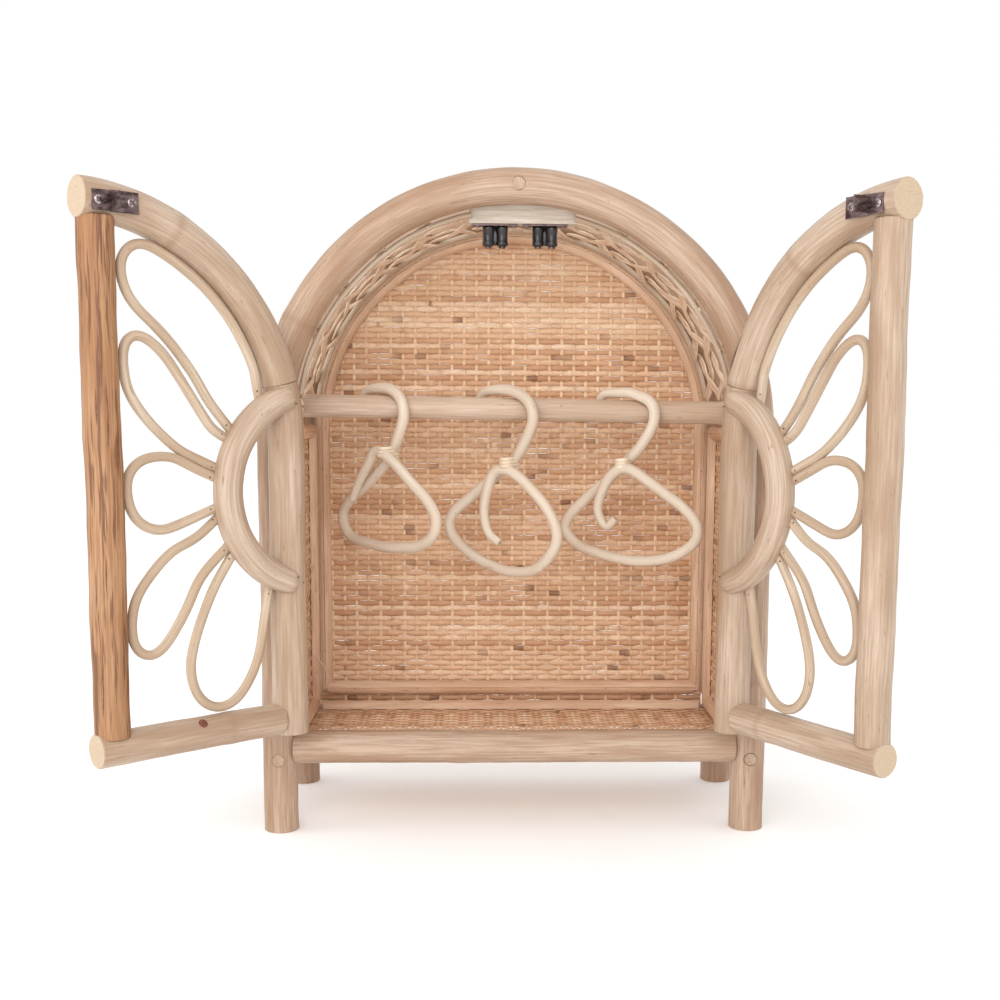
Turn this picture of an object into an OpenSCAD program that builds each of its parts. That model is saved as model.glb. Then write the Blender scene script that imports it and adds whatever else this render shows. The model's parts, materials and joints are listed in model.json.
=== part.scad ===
// Dolls' wardrobe in bent cane poles: an arched open cabinet, a pair of petal doors,
// woven panels, a hanging rail and three cane hangers.
// Standing on z = 0, front towards -Y, with the doors open.
// The modules are drawn about the point on the floor midway between the two arches, and place()
// moves them so that the origin lies under the middle of the whole object, open doors included.

/* [Cabinet] */
// Thickness of the bent frame poles
pole_d = 27; // [24:0.5:28]
// Distance from the cabinet's centre plane to the centre of each leg
leg_x = 186; // [180:1:200]
// Distance between the front and rear arches, centre to centre
depth = 140; // [132:1:180]
// Height at which the straight legs turn into the arch
spring_z = 314; // [306:1:325]
// Thickness of the round rails under the floor
rail_d = 20; // [17:0.5:22]
// Height of the rails under the floor, at their centre
rail_z = 59; // [55:1:60]
// Thickness of the front rail, which stands above the floor
front_rail_d = 26; // [24:0.5:27]
// Height of the middle of the front rail
front_rail_z = 67; // [65:0.5:68]
// Thickness of the hanging rail
hang_rail_d = 18.6; // [15:0.2:19]
// Height of the hanging rail at the middle
hang_rail_z = 333; // [331:1:335]
// Thickness of the woven panels
weave_t = 2.4; // [2:0.1:3]
// Width of the half round trim around the woven panels
trim_w = 13; // [11:0.5:13]

/* [Doors] */
// How far the left door stands open, from shut
left_open = 138; // [100:1:150]
// How far the right door stands open, from shut
right_open = 120; // [100:1:150]
// Clear gap between a shut door and the front arch
door_gap = 1; // [0.8:0.1:1.5]
// Thickness of the upright at a door's free edge
free_stile_d = 24.6; // [22:0.2:26]
// Thickness of a door's bottom rail
door_rail_d = 24; // [22:0.5:26]
// Height of a door's bottom rail, at its centre
door_rail_z = 100; // [98:1:104]
// Thickness of the crescent that the petals spring from
hub_d = 21; // [18:0.5:22]
// Thickness of the petal cane
petal_d = 7; // [5:0.5:7]

/* [Hangers] */
// Thickness of the hanger cane
cane_d = 9; // [7:0.2:9.2]
// Turn of each hanger away from the rail's line, left to right
hanger_turn = [45, 40, 35]; // [35:1:50]
// Place of each hook along the rail
hanger_x = [-106, -8, 90];

/* [Catches] */
// Place of each roller catch along the front
catch_x = [-17, 21.5];
// Radius of a catch roller
roller_r = 4.5; // [4:0.1:4.5]
// Length of a catch roller
roller_h = 15; // [12:0.5:15]

/* [Hidden] */
$fn = 64;
POLE = "burlywood";
WEAVE = "tan";
TRIM = "bisque";
CANE = "blanchedalmond";
METAL = "dimgray";

front_y = -depth / 2;
rear_y = depth / 2;
pole_r = pole_d / 2;
peg_d = 9.6;
peg_depth = 14;
rail_r = rail_d / 2;
trim_r = trim_w / 2;
floor_top = rail_z + rail_r;
weave_y = rear_y - 3;                       // front face of the back panel
panel_r = leg_x - pole_r - 0.5;             // outer radius of the back panel
trim_arch_r = panel_r - trim_r + 0.2;       // centre radius of the back trim
back_trim_z = floor_top + 17;               // centre height of the strip along its foot
band_r = leg_x - pole_r + 0.5;              // middle radius of the roof band
side_x = leg_x - 10;                        // middle plane of the side panels
side_front_y = front_y + 10.6;
side_rear_y = rear_y - 10.6;
side_top = hang_rail_z - 13;
cross_x = leg_x - 6;
rail_slope = 0.7;                           // the hanging rail dips to the right
cross_r = 9;
hang_y = front_y + 68;

// Doors, in their own frame when shut: x runs from the hinge stile's centre towards the
// free edge, y = 0 is the middle of the door's thickness and +y is its inner face.
stile_x = leg_x - pole_r - door_gap - pole_r;
door_r = stile_x - 0.3;                     // centre radius of the door's arch
door_spring = spring_z - 4;
door_end = stile_x - 0.8;                   // the free edge, short of the centre plane
free_x = door_end - free_stile_d / 2;
door_low = door_rail_z - door_rail_d / 2;
hinge_x = leg_x - pole_r - door_gap / 2;
hinge_y = front_y - 15.5;
hinge_z = [136, 290];
leaf_h = 26;
leaf_t = 1;
knuckle_r = 2.4;
pin_r = 1.25;
hub_r = 71;
hub_x = -16.5;
hub_z = 272.5;
hub_y = 7;
hub_a = 71;
petal_y = 1;

// Outlines of the petals, from the hub round the outer end and back to the hub.
petal_1 = concat(
    [[27, 341]],
    [for (a = [160 : -10 : 110]) [stile_x, door_spring] + 140.2 * [cos(a), sin(a)]],
    [[122, 439], [129, 428], [127, 413], [119, 400], [106, 389], [92, 375], [76, 355], [64, 336]]);
petal_2 = [[63, 318], [72, 331], [85, 350], [97, 367], [109, 378], [119, 382], [127, 377], [129, 366],
           [128, 351], [123, 338], [114, 326], [103, 315], [88, 303]];
petal_3 = [[80, 292], [95, 299], [112, 299], [123, 294], [129, 285], [129, 271], [125, 259], [116, 251],
           [104, 248], [91, 251.5]];
petal_4 = [[78, 241], [97, 233], [114, 217], [125, 202], [129, 186], [128, 171], [121, 162], [112, 161],
           [103, 168], [93, 181], [84, 196], [74, 214]];
petal_5 = [[64, 205], [74, 185], [82, 164], [85, 147], [81, 130], [71, 119], [57, 116.5], [44, 124],
           [32, 141], [26, 165], [25, 187]];
function on_hub(p) = [hub_x, hub_z] + 81.2 * (p - [hub_x, hub_z]) / norm(p - [hub_x, hub_z]);

// Hanger centrelines as [across, out of the hanger's plane, up], from the rail's centre:
// the hook, the neck, round the triangle and back up, then the short tail.
hanger_1 = [[-27, 0, 6], [-22, 0, 13], [-10, 0, 15], [6, 0, 14.2], [19, 0, 6], [22, 0, -8], [14, 1, -24],
            [2, 4.8, -37], [-10, 4.8, -50], [-30, 3, -66], [-48, 0, -80], [-56, 0, -94], [-46, 0, -109],
            [-20, 0, -114], [10, 0, -115], [38, 0, -112], [56, 0, -102], [60, 0, -88], [50, 0, -74],
            [30, -2, -58], [12, -4.8, -43], [-4, -6.2, -36], [-14, -6.6, -47], [-25, -7.6, -62], [-34, -8, -77]];
hanger_2 = [[-28, 0, 4], [-24, 0, 12], [-12, 0, 15.4], [8, 0, 14.6], [24, 0, 6], [29, 0, -9], [19, 1, -28],
            [4, 4.8, -44], [-14, 4.8, -56], [-36, 3, -72], [-56, 0, -88], [-60, 0, -102], [-46, 0, -117],
            [-22, 0, -128], [6, 0, -134], [32, 0, -130], [50, 0, -114], [54, 0, -98], [44, 0, -80],
            [26, -2, -62], [8, -4.8, -50], [-6, -6.2, -52], [-14, -6.2, -68], [-17, -6.2, -86], [-12, -6.2, -102],
            [0, -6.2, -110]];
hanger_3 = [[-24, 0, 7], [-19, 0, 13.5], [-8, 0, 15], [8, 0, 14.6], [25, 0, 7], [28, 0, -8], [17, 1, -26],
            [0, 4.8, -42], [-14, 4.8, -54], [-34, 3, -71], [-50, 0, -87], [-55, 0, -100], [-42, 0, -113],
            [-16, 0, -120], [12, 0, -123], [42, 0, -119], [64, 0, -107], [69, 0, -92], [56, 0, -77],
            [32, -2, -61], [8, -4.8, -47], [-6, -6.2, -51], [-16, -6.2, -66], [-20, -6.2, -82], [-12, -6.2, -95],
            [-3, -6.2, -88]];
hangers = [hanger_1, hanger_2, hanger_3];
neck = [[3, 0, -37], [5, 0, -44], [1, 0, -43]];

// How far a door's free corner reaches from the cabinet's centre plane and to the front.
door_reach = door_end - stile_x + hinge_x;
edge_y = hinge_y - front_y + pole_r;
function reach_x(opened) = hinge_x - door_reach * cos(opened) + edge_y * sin(opened);
function reach_y(opened) = hinge_y - door_reach * sin(opened) + (2 * pole_r - edge_y) * cos(opened);
middle_x = (reach_x(right_open) - reach_x(left_open)) / 2;
middle_y = (rear_y + pole_r + min(reach_y(left_open), reach_y(right_open))) / 2;
module place() {
    translate([-middle_x, -middle_y, 0])
        children();
}

// A smooth path through the given points.
function between(a, b, c, d, t) =
    0.5 * (2 * b + (c - a) * t + (2 * a - 5 * b + 4 * c - d) * t * t + (3 * b - a - 3 * c + d) * t * t * t);
function smooth(p, steps) = [
    for (i = [0 : len(p) - 2])
        for (j = [0 : steps - 1])
            between(p[max(i - 1, 0)], p[i], p[i + 1], p[min(i + 2, len(p) - 1)], j / steps),
    p[len(p) - 1]];
function unit(v) = v / norm(v);

// A round cane bent along a path that lies close to the XZ plane.
module cane(path, radius, sides) {
    last = len(path) - 1;
    rings = [
        for (i = [0 : last])
            let (along = unit(path[min(i + 1, last)] - path[max(i - 1, 0)]),
                 out = unit(cross(along, [0, 1, 0])),
                 side = cross(along, out))
                for (k = [0 : sides - 1])
                    path[i] + radius * (cos(360 * k / sides) * out + sin(360 * k / sides) * side)];
    walls = [
        for (i = [0 : last - 1])
            for (k = [0 : sides - 1])
                let (a = i * sides + k, b = i * sides + (k + 1) % sides)
                    each [[a, b, b + sides], [a, b + sides, a + sides]]];
    start = [for (k = [0 : sides - 1]) sides - 1 - k];
    end = [for (k = [0 : sides - 1]) last * sides + k];
    polyhedron(points = rings, faces = concat([start], walls, [end]));
}

// A round pole bent to part of a circle that stands in the XZ plane.
module bent_pole(radius, thickness, from, to) {
    rotate([90, 0, 0])
        rotate([0, 0, from])
            rotate_extrude(angle = to - from, $fn = 96)
                translate([radius, 0])
                    circle(d = thickness);
}

// A round bar from one point to the next.
module bar_x(x0, x1, thickness) {
    translate([x0, 0, 0])
        rotate([0, 90, 0])
            cylinder(d = thickness, h = x1 - x0);
}
module bar_y(y0, y1, thickness) {
    translate([0, y0, 0])
        rotate([-90, 0, 0])
            cylinder(d = thickness, h = y1 - y0);
}

// Half round moulding along x, flat side on z = 0, with both ends cut at 45 degrees.
module moulding(length) {
    difference() {
        intersection() {
            bar_x(-length / 2, length / 2, trim_w);
            translate([-length / 2, -trim_r, 0])
                cube([length, trim_w, trim_r]);
        }
        for (end = [-1, 1])
            translate([end * length / 2, trim_r, -1])
                rotate([0, 0, end * -45])
                    translate([end > 0 ? 0 : -2 * trim_w, -3 * trim_w, 0])
                        cube([2 * trim_w, 6 * trim_w, trim_w]);
    }
}

// ---- Cabinet ----

module arch_frame(y) {
    translate([0, y, spring_z])
        bent_pole(leg_x, pole_d, 0, 180);
    for (side = [-1, 1])
        translate([side * leg_x, y, 0])
            cylinder(d = pole_d, h = spring_z);
}

module hinge_mortises(x_in, x_out) {
    for (side = [-1, 1], z = hinge_z)
        translate([side > 0 ? x_in : -x_out, front_y - pole_r - 1, z - leaf_h / 2 - 0.2])
            cube([x_out - x_in, pole_r - 1, leaf_h + 0.4]);
}

module peg_places() {
    for (place = [[-leg_x, rail_z], [leg_x, rail_z], [0, spring_z + leg_x]])
        translate([place[0], front_y - pole_r, place[1]])
            children();
}

module front_arch() {
    color(POLE)
        difference() {
            arch_frame(front_y);
            hinge_mortises(hinge_x - 2, hinge_x + 1.15);
            peg_places()
                bar_y(-1, peg_depth, peg_d);
        }
}

module rear_arch() {
    color(POLE)
        arch_frame(rear_y);
}

module dowel_pegs() {
    color(TRIM)
        peg_places()
            bar_y(-0.4, peg_depth, peg_d);
}

module cross_rail(y, z, thickness, reach) {
    color(POLE)
        difference() {
            translate([0, y, z])
                bar_x(-reach, reach, thickness);
            for (side = [-1, 1])
                translate([side * leg_x, y, z - pole_d])
                    cylinder(d = pole_d + 0.05, h = 2 * pole_d);
        }
}

module front_rail() { cross_rail(front_y, front_rail_z, front_rail_d, side_x - weave_t / 2 - 0.1); }
module rear_rail() { cross_rail(rear_y, rail_z, rail_d, leg_x); }

module between_legs(x, z, thickness) {
    difference() {
        translate([x, 0, z])
            bar_y(front_y, rear_y, thickness);
        for (y = [front_y, rear_y])
            if (z > spring_z)
                translate([0, y, spring_z])
                    bent_pole(leg_x, pole_d + 0.05, 0, 180);
            else
                translate([sign(x) * leg_x, y, z - pole_d])
                    cylinder(d = pole_d + 0.05, h = 2 * pole_d);
    }
}

module side_rails() {
    color(POLE)
        for (side = [-1, 1])
            between_legs(side * leg_x, rail_z, rail_d);
}

function cross_z(side) = hang_rail_z - side * leg_x * sin(rail_slope);
module cross_bars() {
    color(POLE)
        for (side = [-1, 1])
            between_legs(side * cross_x, cross_z(side), 2 * cross_r);
}

module hanging_rail() {
    color(POLE)
        difference() {
            translate([0, hang_y, hang_rail_z])
                rotate([0, rail_slope, 0])
                    bar_x(-cross_x, cross_x, hang_rail_d);
            for (side = [-1, 1])
                translate([side * cross_x, 0, cross_z(side)])
                    bar_y(front_y, rear_y, 2 * cross_r + 0.05);
        }
}

module back_panel() {
    color(WEAVE)
        translate([0, weave_y + weave_t, 0])
            rotate([90, 0, 0])
                linear_extrude(weave_t)
                    union() {
                        translate([0, spring_z])
                            intersection() {
                                circle(r = panel_r, $fn = 96);
                                translate([-panel_r, 0])
                                    square([2 * panel_r, panel_r]);
                            }
                        translate([-panel_r, floor_top + 0.2])
                            square([2 * panel_r, spring_z - floor_top - 0.2]);
                    }
}

module floor_panel() {
    width = 2 * leg_x - 14;
    color(WEAVE)
        translate([-width / 2, front_y + 13.8, floor_top - weave_t])
            cube([width, depth - 27.6, weave_t]);
}

module side_panel(side) {
    color(WEAVE)
        translate([side * side_x - weave_t / 2, side_front_y, floor_top + 0.3])
            cube([weave_t, side_rear_y - side_front_y, side_top - floor_top - 0.3]);
}

module left_side_panel() { side_panel(-1); }
module right_side_panel() { side_panel(1); }

// The open woven band over the arch: a thin strip with staggered rows of leaf shaped openings.
band_front = front_y + 9;
band_rear = rear_y - 12;
module roof_band() {
    thickness = 1.8;
    leaf_step = 16;
    color(WEAVE)
        difference() {
            translate([0, 0, spring_z])
                rotate([90, 0, 0])
                    rotate([0, 0, 9])
                        translate([0, 0, -band_rear])
                            rotate_extrude(angle = 162, $fn = 96)
                                translate([band_r - thickness / 2, 0])
                                    square([thickness, band_rear - band_front]);
            catch_block_solid(0.3);
            translate([0, hang_y, hang_rail_z])
                rotate([0, rail_slope, 0])
                    bar_x(-cross_x - 10, cross_x + 10, hang_rail_d + 0.6);
            for (row = [0 : 2], step = [0 : 9 - row % 2])
                translate([0, band_front + 24 + 35 * row, spring_z])
                    rotate([0, -18 - leaf_step * (step + (row % 2) / 2), 0])
                        translate([band_r - 5, 0, 0])
                            intersection() {
                                translate([0, 15, 0])
                                    rotate([0, 90, 0])
                                        cylinder(r = 22, h = 10);
                                translate([0, -15, 0])
                                    rotate([0, 90, 0])
                                        cylinder(r = 22, h = 10);
                            }
        }
}

module roof_rims() {
    color(TRIM)
        difference() {
            for (y = [band_front + 2.5, band_rear - 2.5])
                translate([0, y, spring_z])
                    bent_pole(band_r - 3.2, 4.4, 9, 171);
            catch_block_solid(0.3);
        }
}

module back_arch_trim() {
    color(TRIM)
        translate([0, weave_y, 0]) {
            difference() {
                union() {
                    translate([0, 0, spring_z])
                        rotate([90, 0, 0])
                            rotate_extrude(angle = 180, $fn = 96)
                                translate([trim_arch_r, 0])
                                    intersection() {
                                        circle(d = trim_w);
                                        translate([-trim_r, 0])
                                            square([trim_w, trim_r]);
                                    }
                    for (side = [-1, 1])
                        translate([side * trim_arch_r, 0, back_trim_z - trim_r])
                            intersection() {
                                cylinder(d = trim_w, h = spring_z - back_trim_z + trim_r);
                                translate([-trim_r, -trim_r, 0])
                                    cube([trim_w, trim_r, spring_z]);
                            }
                }
                for (side = [-1, 1])
                    translate([side * (trim_arch_r + trim_r), -10, back_trim_z - trim_r])
                        rotate([0, side * 45, 0])
                            translate([-50, 0, -20])
                                cube([100, 20, 20]);
            }
        }
}

module back_bottom_trim() {
    color(TRIM)
        translate([0, weave_y, back_trim_z])
            rotate([90, 0, 0])
                mirror([0, 1, 0])
                    moulding(2 * (trim_arch_r + trim_r) - 0.1);
}

module floor_trim() {
    color(TRIM)
        intersection() {
            translate([0, weave_y - trim_r - 1, floor_top])
                bar_x(-side_x + 9, side_x - 9, trim_w);
            translate([-leg_x, weave_y - 2 * trim_w, floor_top])
                cube([2 * leg_x, 2 * trim_w, trim_r]);
        }
}

module side_trim(side) {
    y0 = side_front_y + 0.5;
    y1 = side_rear_y - 3;
    z0 = floor_top + 0.3;
    z1 = side_top;
    x = side * (side_x - weave_t / 2);
    color(TRIM)
        difference() {
            translate([x, (y0 + y1) / 2, (z0 + z1) / 2])
                rotate([0, side * -90, 0])
                    rotate([0, 0, 90]) {
                        for (turn = [0, 180])
                            rotate([0, 0, turn])
                                translate([0, (z1 - z0) / 2 - trim_r, 0])
                                    moulding(y1 - y0 - 0.1);
                        for (turn = [90, 270])
                            rotate([0, 0, turn])
                                translate([0, (y1 - y0) / 2 - trim_r, 0])
                                    moulding(z1 - z0 - 0.1);
                    }
            translate([0, front_y, front_rail_z])
                bar_x(-leg_x, leg_x, front_rail_d + 0.1);
        }
}

module left_side_trim() { side_trim(-1); }
module right_side_trim() { side_trim(1); }

// ---- Catches ----

block_low = 474.5 - 314 + spring_z;
block_front = front_y + pole_r + 0.5;
roller_y = front_y + 22;
roller_gap = 2 * roller_r + 1.8;
pin_low = block_low - 1.4 - roller_h - 1.6;

module catch_block_solid(grow) {
    translate([-37 - grow, block_front - grow, block_low - grow])
        cube([82 + 2 * grow, 16 + 2 * grow, 20 + 2 * grow]);
    translate([-37 - grow, front_y + 8 - grow, block_low + 10 - grow])
        cube([82 + 2 * grow, 16 + 2 * grow, 10 + 2 * grow]);
}

module catch_block() {
    color(TRIM)
        difference() {
            catch_block_solid(0);
            translate([0, front_y, spring_z])
                bent_pole(leg_x, pole_d + 0.05, 60, 120);
            for (x = catch_x, side = [-1, 1])
                translate([x + side * 14, roller_y, block_low - 1])
                    cylinder(r = 1.2, h = 9);
        }
}

module catch_plates() {
    color(METAL)
        for (x = catch_x) {
            difference() {
                translate([x - 17.5, roller_y - 5.5, block_low - 1.4])
                    cube([35, 11, 1.4]);
                for (side = [-1, 1])
                    translate([x + side * 14, roller_y, block_low - 2])
                        cylinder(r = 1.25, h = 3);
            }
            for (side = [-1, 1])
                translate([x + side * roller_gap / 2, roller_y, pin_low]) {
                    cylinder(r = 1.5, h = block_low - 1.4 - pin_low);
                    cylinder(r = 2.6, h = 1.2);
                }
        }
}

module catch_screws() {
    color(METAL)
        for (x = catch_x, side = [-1, 1])
            translate([x + side * 14, roller_y, block_low - 2.6]) {
                cylinder(r = 2.4, h = 1.2);
                cylinder(r = 1.2, h = 8);
            }
}

module roller(n) {
    x = catch_x[floor(n / 2)] + (n % 2 == 0 ? -1 : 1) * roller_gap / 2;
    color(METAL)
        translate([x, roller_y, pin_low + 1.4])
            difference() {
                cylinder(r = roller_r, h = roller_h);
                translate([0, 0, -1])
                    cylinder(r = 1.55, h = roller_h + 2);
            }
}

module roller_1() { roller(0); }
module roller_2() { roller(1); }
module roller_3() { roller(2); }
module roller_4() { roller(3); }

// ---- Door hinges ----

// One leaf in the frame of the right hand side, with its knuckles on the hinge line.
module leaf(inner, knuckles) {
    x = inner ? -leaf_t - 0.15 : 0.15;
    difference() {
        union() {
            translate([x, 0, -leaf_h / 2])
                cube([leaf_t, 13, leaf_h]);
            for (span = knuckles)
                translate([0, 0, span[0]])
                    cylinder(r = knuckle_r, h = span[1] - span[0]);
        }
        translate([0, 0, -leaf_h])
            cylinder(r = pin_r + 0.05, h = 2 * leaf_h);
        // room for the other leaf's knuckles
        for (span = inner ? [[-leaf_h / 2 - 1, -4], [4, leaf_h / 2 + 1]] : [[-4.6, 4.6]])
            translate([-4, -3, span[0]])
                cube([8, 6, span[1] - span[0]]);
    }
}

module cabinet_hinge_leaves() {
    color(METAL)
        for (side = [0, 1], z = hinge_z)
            mirror([side, 0, 0])
                translate([hinge_x, hinge_y, z])
                    leaf(false, [[-leaf_h / 2, -4.6], [4.6, leaf_h / 2]]);
}

module hinge_pins() {
    color(METAL)
        for (side = [-1, 1], z = hinge_z)
            translate([side * hinge_x, hinge_y, z - leaf_h / 2 - 1.2]) {
                cylinder(r = pin_r, h = leaf_h + 1.4);
                translate([0, 0, leaf_h + 1.4])
                    cylinder(r = 2, h = 1);
            }
}

// ---- Doors ----

// Places a shut door's parts at its open angle. side is -1 for the left door.
module hang_door(side) {
    opened = side < 0 ? left_open : right_open;
    mirror([side > 0 ? 1 : 0, 0, 0])
        translate([-hinge_x, hinge_y, 0])
            rotate([0, 0, -opened])
                translate([hinge_x, -hinge_y, 0])
                    translate([-stile_x, front_y, 0])
                        children();
}

module door_arch(side) {
    color(POLE)
        hang_door(side)
            difference() {
                union() {
                    translate([stile_x, 0, door_spring])
                        bent_pole(door_r, pole_d, 90, 180);
                    translate([stile_x, 0, door_spring + door_r])
                        bar_x(-0.01, 6, pole_d);
                }
                translate([door_end, -pole_d, door_spring])
                    cube([20, 2 * pole_d, 2 * door_r]);
            }
}

module hinge_stile(side) {
    color(POLE)
        hang_door(side)
            difference() {
                translate([stile_x - door_r, 0, door_low])
                    cylinder(d = pole_d, h = door_spring - door_low);
                // flats for the hinge leaves
                for (z = hinge_z)
                    translate([-pole_d, -pole_r - 1, z - leaf_h / 2 - 0.2])
                        cube([pole_d - (pole_r - 0.65), pole_r - 1, leaf_h + 0.4]);
            }
}

module free_stile(side) {
    color(POLE)
        hang_door(side)
            difference() {
                translate([free_x, 0, door_rail_z])
                    cylinder(d = free_stile_d, h = door_r + door_spring - door_rail_z);
                translate([stile_x, 0, door_spring])
                    bent_pole(door_r, pole_d + 0.1, 90, 140);
                translate([free_x - 30, 0, door_rail_z])
                    bar_x(0, 60, door_rail_d + 0.1);
                translate([stile_x - 1, 0, door_spring + door_r])
                    bar_x(-1, 20, pole_d + 0.1);
                // nothing is left above the arch or below the rail
                translate([free_x - 30, -30, door_spring + door_r])
                    cube([60, 60, 60]);
            }
}

module bottom_rail(side) {
    color(POLE)
        hang_door(side)
            difference() {
                translate([0, 0, door_rail_z])
                    bar_x(0, door_end, door_rail_d);
                translate([stile_x - door_r, 0, door_low - 5])
                    cylinder(d = pole_d + 0.05, h = 60);
            }
}

module door_hub(side) {
    color(POLE)
        hang_door(side)
            difference() {
                translate([hub_x, hub_y, hub_z])
                    bent_pole(hub_r, hub_d, -hub_a, hub_a);
                translate([stile_x - door_r, 0, 150])
                    cylinder(d = pole_d + 0.05, h = door_spring - 150 + 0.05);
                translate([stile_x, 0, door_spring])
                    bent_pole(door_r, pole_d + 0.05, 150, 180);
                translate([-40, -20, 150])
                    cube([40, 60, 250]);
            }
}

module petal(side, outline) {
    color(CANE)
        hang_door(side)
            cane(smooth([for (p = concat([on_hub(outline[0])], outline, [on_hub(outline[len(outline) - 1])]))
                            [p[0], petal_y, p[1]]], 3), petal_d / 2, 8);
}

strike_z = 465 - 314 + spring_z;
function strike_x(side) = stile_x - abs(side < 0 ? catch_x[0] : catch_x[1]);
module strike(side) {
    x = strike_x(side);
    color(METAL)
        hang_door(side) {
            difference() {
                translate([x - 20, pole_r + 0.1, strike_z - 7])
                    cube([32, 1, 14]);
                for (dx = [-15, 8])
                    translate([x + dx, pole_r - 1, strike_z])
                        bar_y(0, 4, 3);
            }
            translate([x - 0.5, pole_r + 1.1, strike_z - 5])
                cube([1, 12, 10]);
        }
}

module strike_screws(side) {
    x = strike_x(side);
    color(METAL)
        hang_door(side)
            for (dx = [-15, 8])
                translate([x + dx, pole_r + 0.1, strike_z]) {
                    bar_y(0, 1.1, 2.8);
                    bar_y(1.1, 2.3, 6);
                }
}

module door_hinge_leaves(side) {
    color(METAL)
        hang_door(side)
            for (z = hinge_z)
                translate([stile_x - hinge_x, hinge_y - front_y, z])
                    mirror([1, 0, 0])
                        leaf(true, [[-4, 4]]);
}

module left_door_arch() { door_arch(-1); }
module left_hinge_stile() { hinge_stile(-1); }
module left_free_stile() { free_stile(-1); }
module left_bottom_rail() { bottom_rail(-1); }
module left_hub() { door_hub(-1); }
module left_strike() { strike(-1); }
module left_strike_screws() { strike_screws(-1); }
module left_hinge_leaves() { door_hinge_leaves(-1); }
module right_door_arch() { door_arch(1); }
module right_hinge_stile() { hinge_stile(1); }
module right_free_stile() { free_stile(1); }
module right_bottom_rail() { bottom_rail(1); }
module right_hub() { door_hub(1); }
module right_strike() { strike(1); }
module right_strike_screws() { strike_screws(1); }
module right_hinge_leaves() { door_hinge_leaves(1); }

// ---- Hangers ----

module place_hanger(n) {
    translate([hanger_x[n], hang_y, hang_rail_z - hanger_x[n] * tan(rail_slope)])
        rotate([0, 0, -hanger_turn[n]])
            children();
}

module hanger(n) {
    color(CANE)
        place_hanger(n)
            cane(smooth(hangers[n], 3), cane_d / 2, 10);
}

// Peel wound round the two crossing canes at the neck.
module hanger_binding(n) {
    color(CANE)
        place_hanger(n)
            translate(neck[n])
                difference() {
                    hull()
                        for (y = [-4.4, 4.4])
                            translate([0, y, -3])
                                cylinder(d = cane_d + 6, h = 6, $fn = 24);
                    hull()
                        for (y = [-4.4, 4.4])
                            translate([0, y, -4])
                                cylinder(d = cane_d + 4, h = 8, $fn = 24);
                }
}

place() front_arch();
place() rear_arch();
place() front_rail();
place() rear_rail();
place() side_rails();
place() cross_bars();
place() hanging_rail();
place() back_panel();
place() floor_panel();
place() left_side_panel();
place() right_side_panel();
place() roof_band();
place() roof_rims();
place() back_arch_trim();
place() back_bottom_trim();
place() floor_trim();
place() left_side_trim();
place() right_side_trim();
place() dowel_pegs();
place() catch_block();
place() catch_plates();
place() catch_screws();
place() roller_1();
place() roller_2();
place() roller_3();
place() roller_4();
place() cabinet_hinge_leaves();
place() hinge_pins();
place() left_door_arch();
place() left_hinge_stile();
place() left_free_stile();
place() left_bottom_rail();
place() left_hub();
place() petal(-1, petal_1);  // left_petal_1
place() petal(-1, petal_2);  // left_petal_2
place() petal(-1, petal_3);  // left_petal_3
place() petal(-1, petal_4);  // left_petal_4
place() petal(-1, petal_5);  // left_petal_5
place() left_strike();
place() left_strike_screws();
place() left_hinge_leaves();
place() right_door_arch();
place() right_hinge_stile();
place() right_free_stile();
place() right_bottom_rail();
place() right_hub();
place() petal(1, petal_1);  // right_petal_1
place() petal(1, petal_2);  // right_petal_2
place() petal(1, petal_3);  // right_petal_3
place() petal(1, petal_4);  // right_petal_4
place() petal(1, petal_5);  // right_petal_5
place() right_strike();
place() right_strike_screws();
place() right_hinge_leaves();
place() hanger(0);  // hanger_1
place() hanger_binding(0);  // hanger_binding_1
place() hanger(1);  // hanger_2
place() hanger_binding(1);  // hanger_binding_2
place() hanger(2);  // hanger_3
place() hanger_binding(2);  // hanger_binding_3
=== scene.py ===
# %% [markdown]
# # A dolls' wardrobe in bent cane
#
# This lesson dresses a small cane wardrobe: an arched cabinet of bent poles, two doors with petals,
# woven panels, a rail with three hangers, and the steel and plastic of its catches. The measured frame
# comes from the CAD model, which also knows how the doors and hangers move. Every visible piece is
# built around that frame, in the same place, and then told which moving body carries it.

import json
import math

import bmesh
import bpy
import numpy as np
from mathutils import Matrix, Vector


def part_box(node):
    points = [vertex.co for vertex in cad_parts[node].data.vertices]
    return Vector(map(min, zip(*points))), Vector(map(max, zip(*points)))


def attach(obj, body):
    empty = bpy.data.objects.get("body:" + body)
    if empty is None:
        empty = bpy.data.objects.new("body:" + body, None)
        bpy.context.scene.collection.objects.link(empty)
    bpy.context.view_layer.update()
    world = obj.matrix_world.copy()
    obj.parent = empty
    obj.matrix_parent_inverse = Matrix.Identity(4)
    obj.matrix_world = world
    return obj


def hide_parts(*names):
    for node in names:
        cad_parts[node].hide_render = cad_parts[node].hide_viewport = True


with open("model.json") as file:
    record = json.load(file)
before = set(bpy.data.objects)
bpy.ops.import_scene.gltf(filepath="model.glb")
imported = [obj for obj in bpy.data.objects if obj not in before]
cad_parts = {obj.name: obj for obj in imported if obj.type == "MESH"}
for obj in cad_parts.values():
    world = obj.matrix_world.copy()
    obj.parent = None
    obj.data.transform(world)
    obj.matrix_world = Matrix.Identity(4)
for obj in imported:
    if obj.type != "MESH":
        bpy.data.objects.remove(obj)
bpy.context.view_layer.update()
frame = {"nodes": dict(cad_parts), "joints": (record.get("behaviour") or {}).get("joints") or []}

# %% [markdown]
# ## Finding our way round the cabinet
#
# Cane furniture is set out from the bent arch, so this script is too. Lengths are written in
# millimetres from the middle of the cabinet's floor: x to the right, y to the back, z up. The numbers
# that the frame knows, such as the arch's width and where the hinges are, are read from it.

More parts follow.
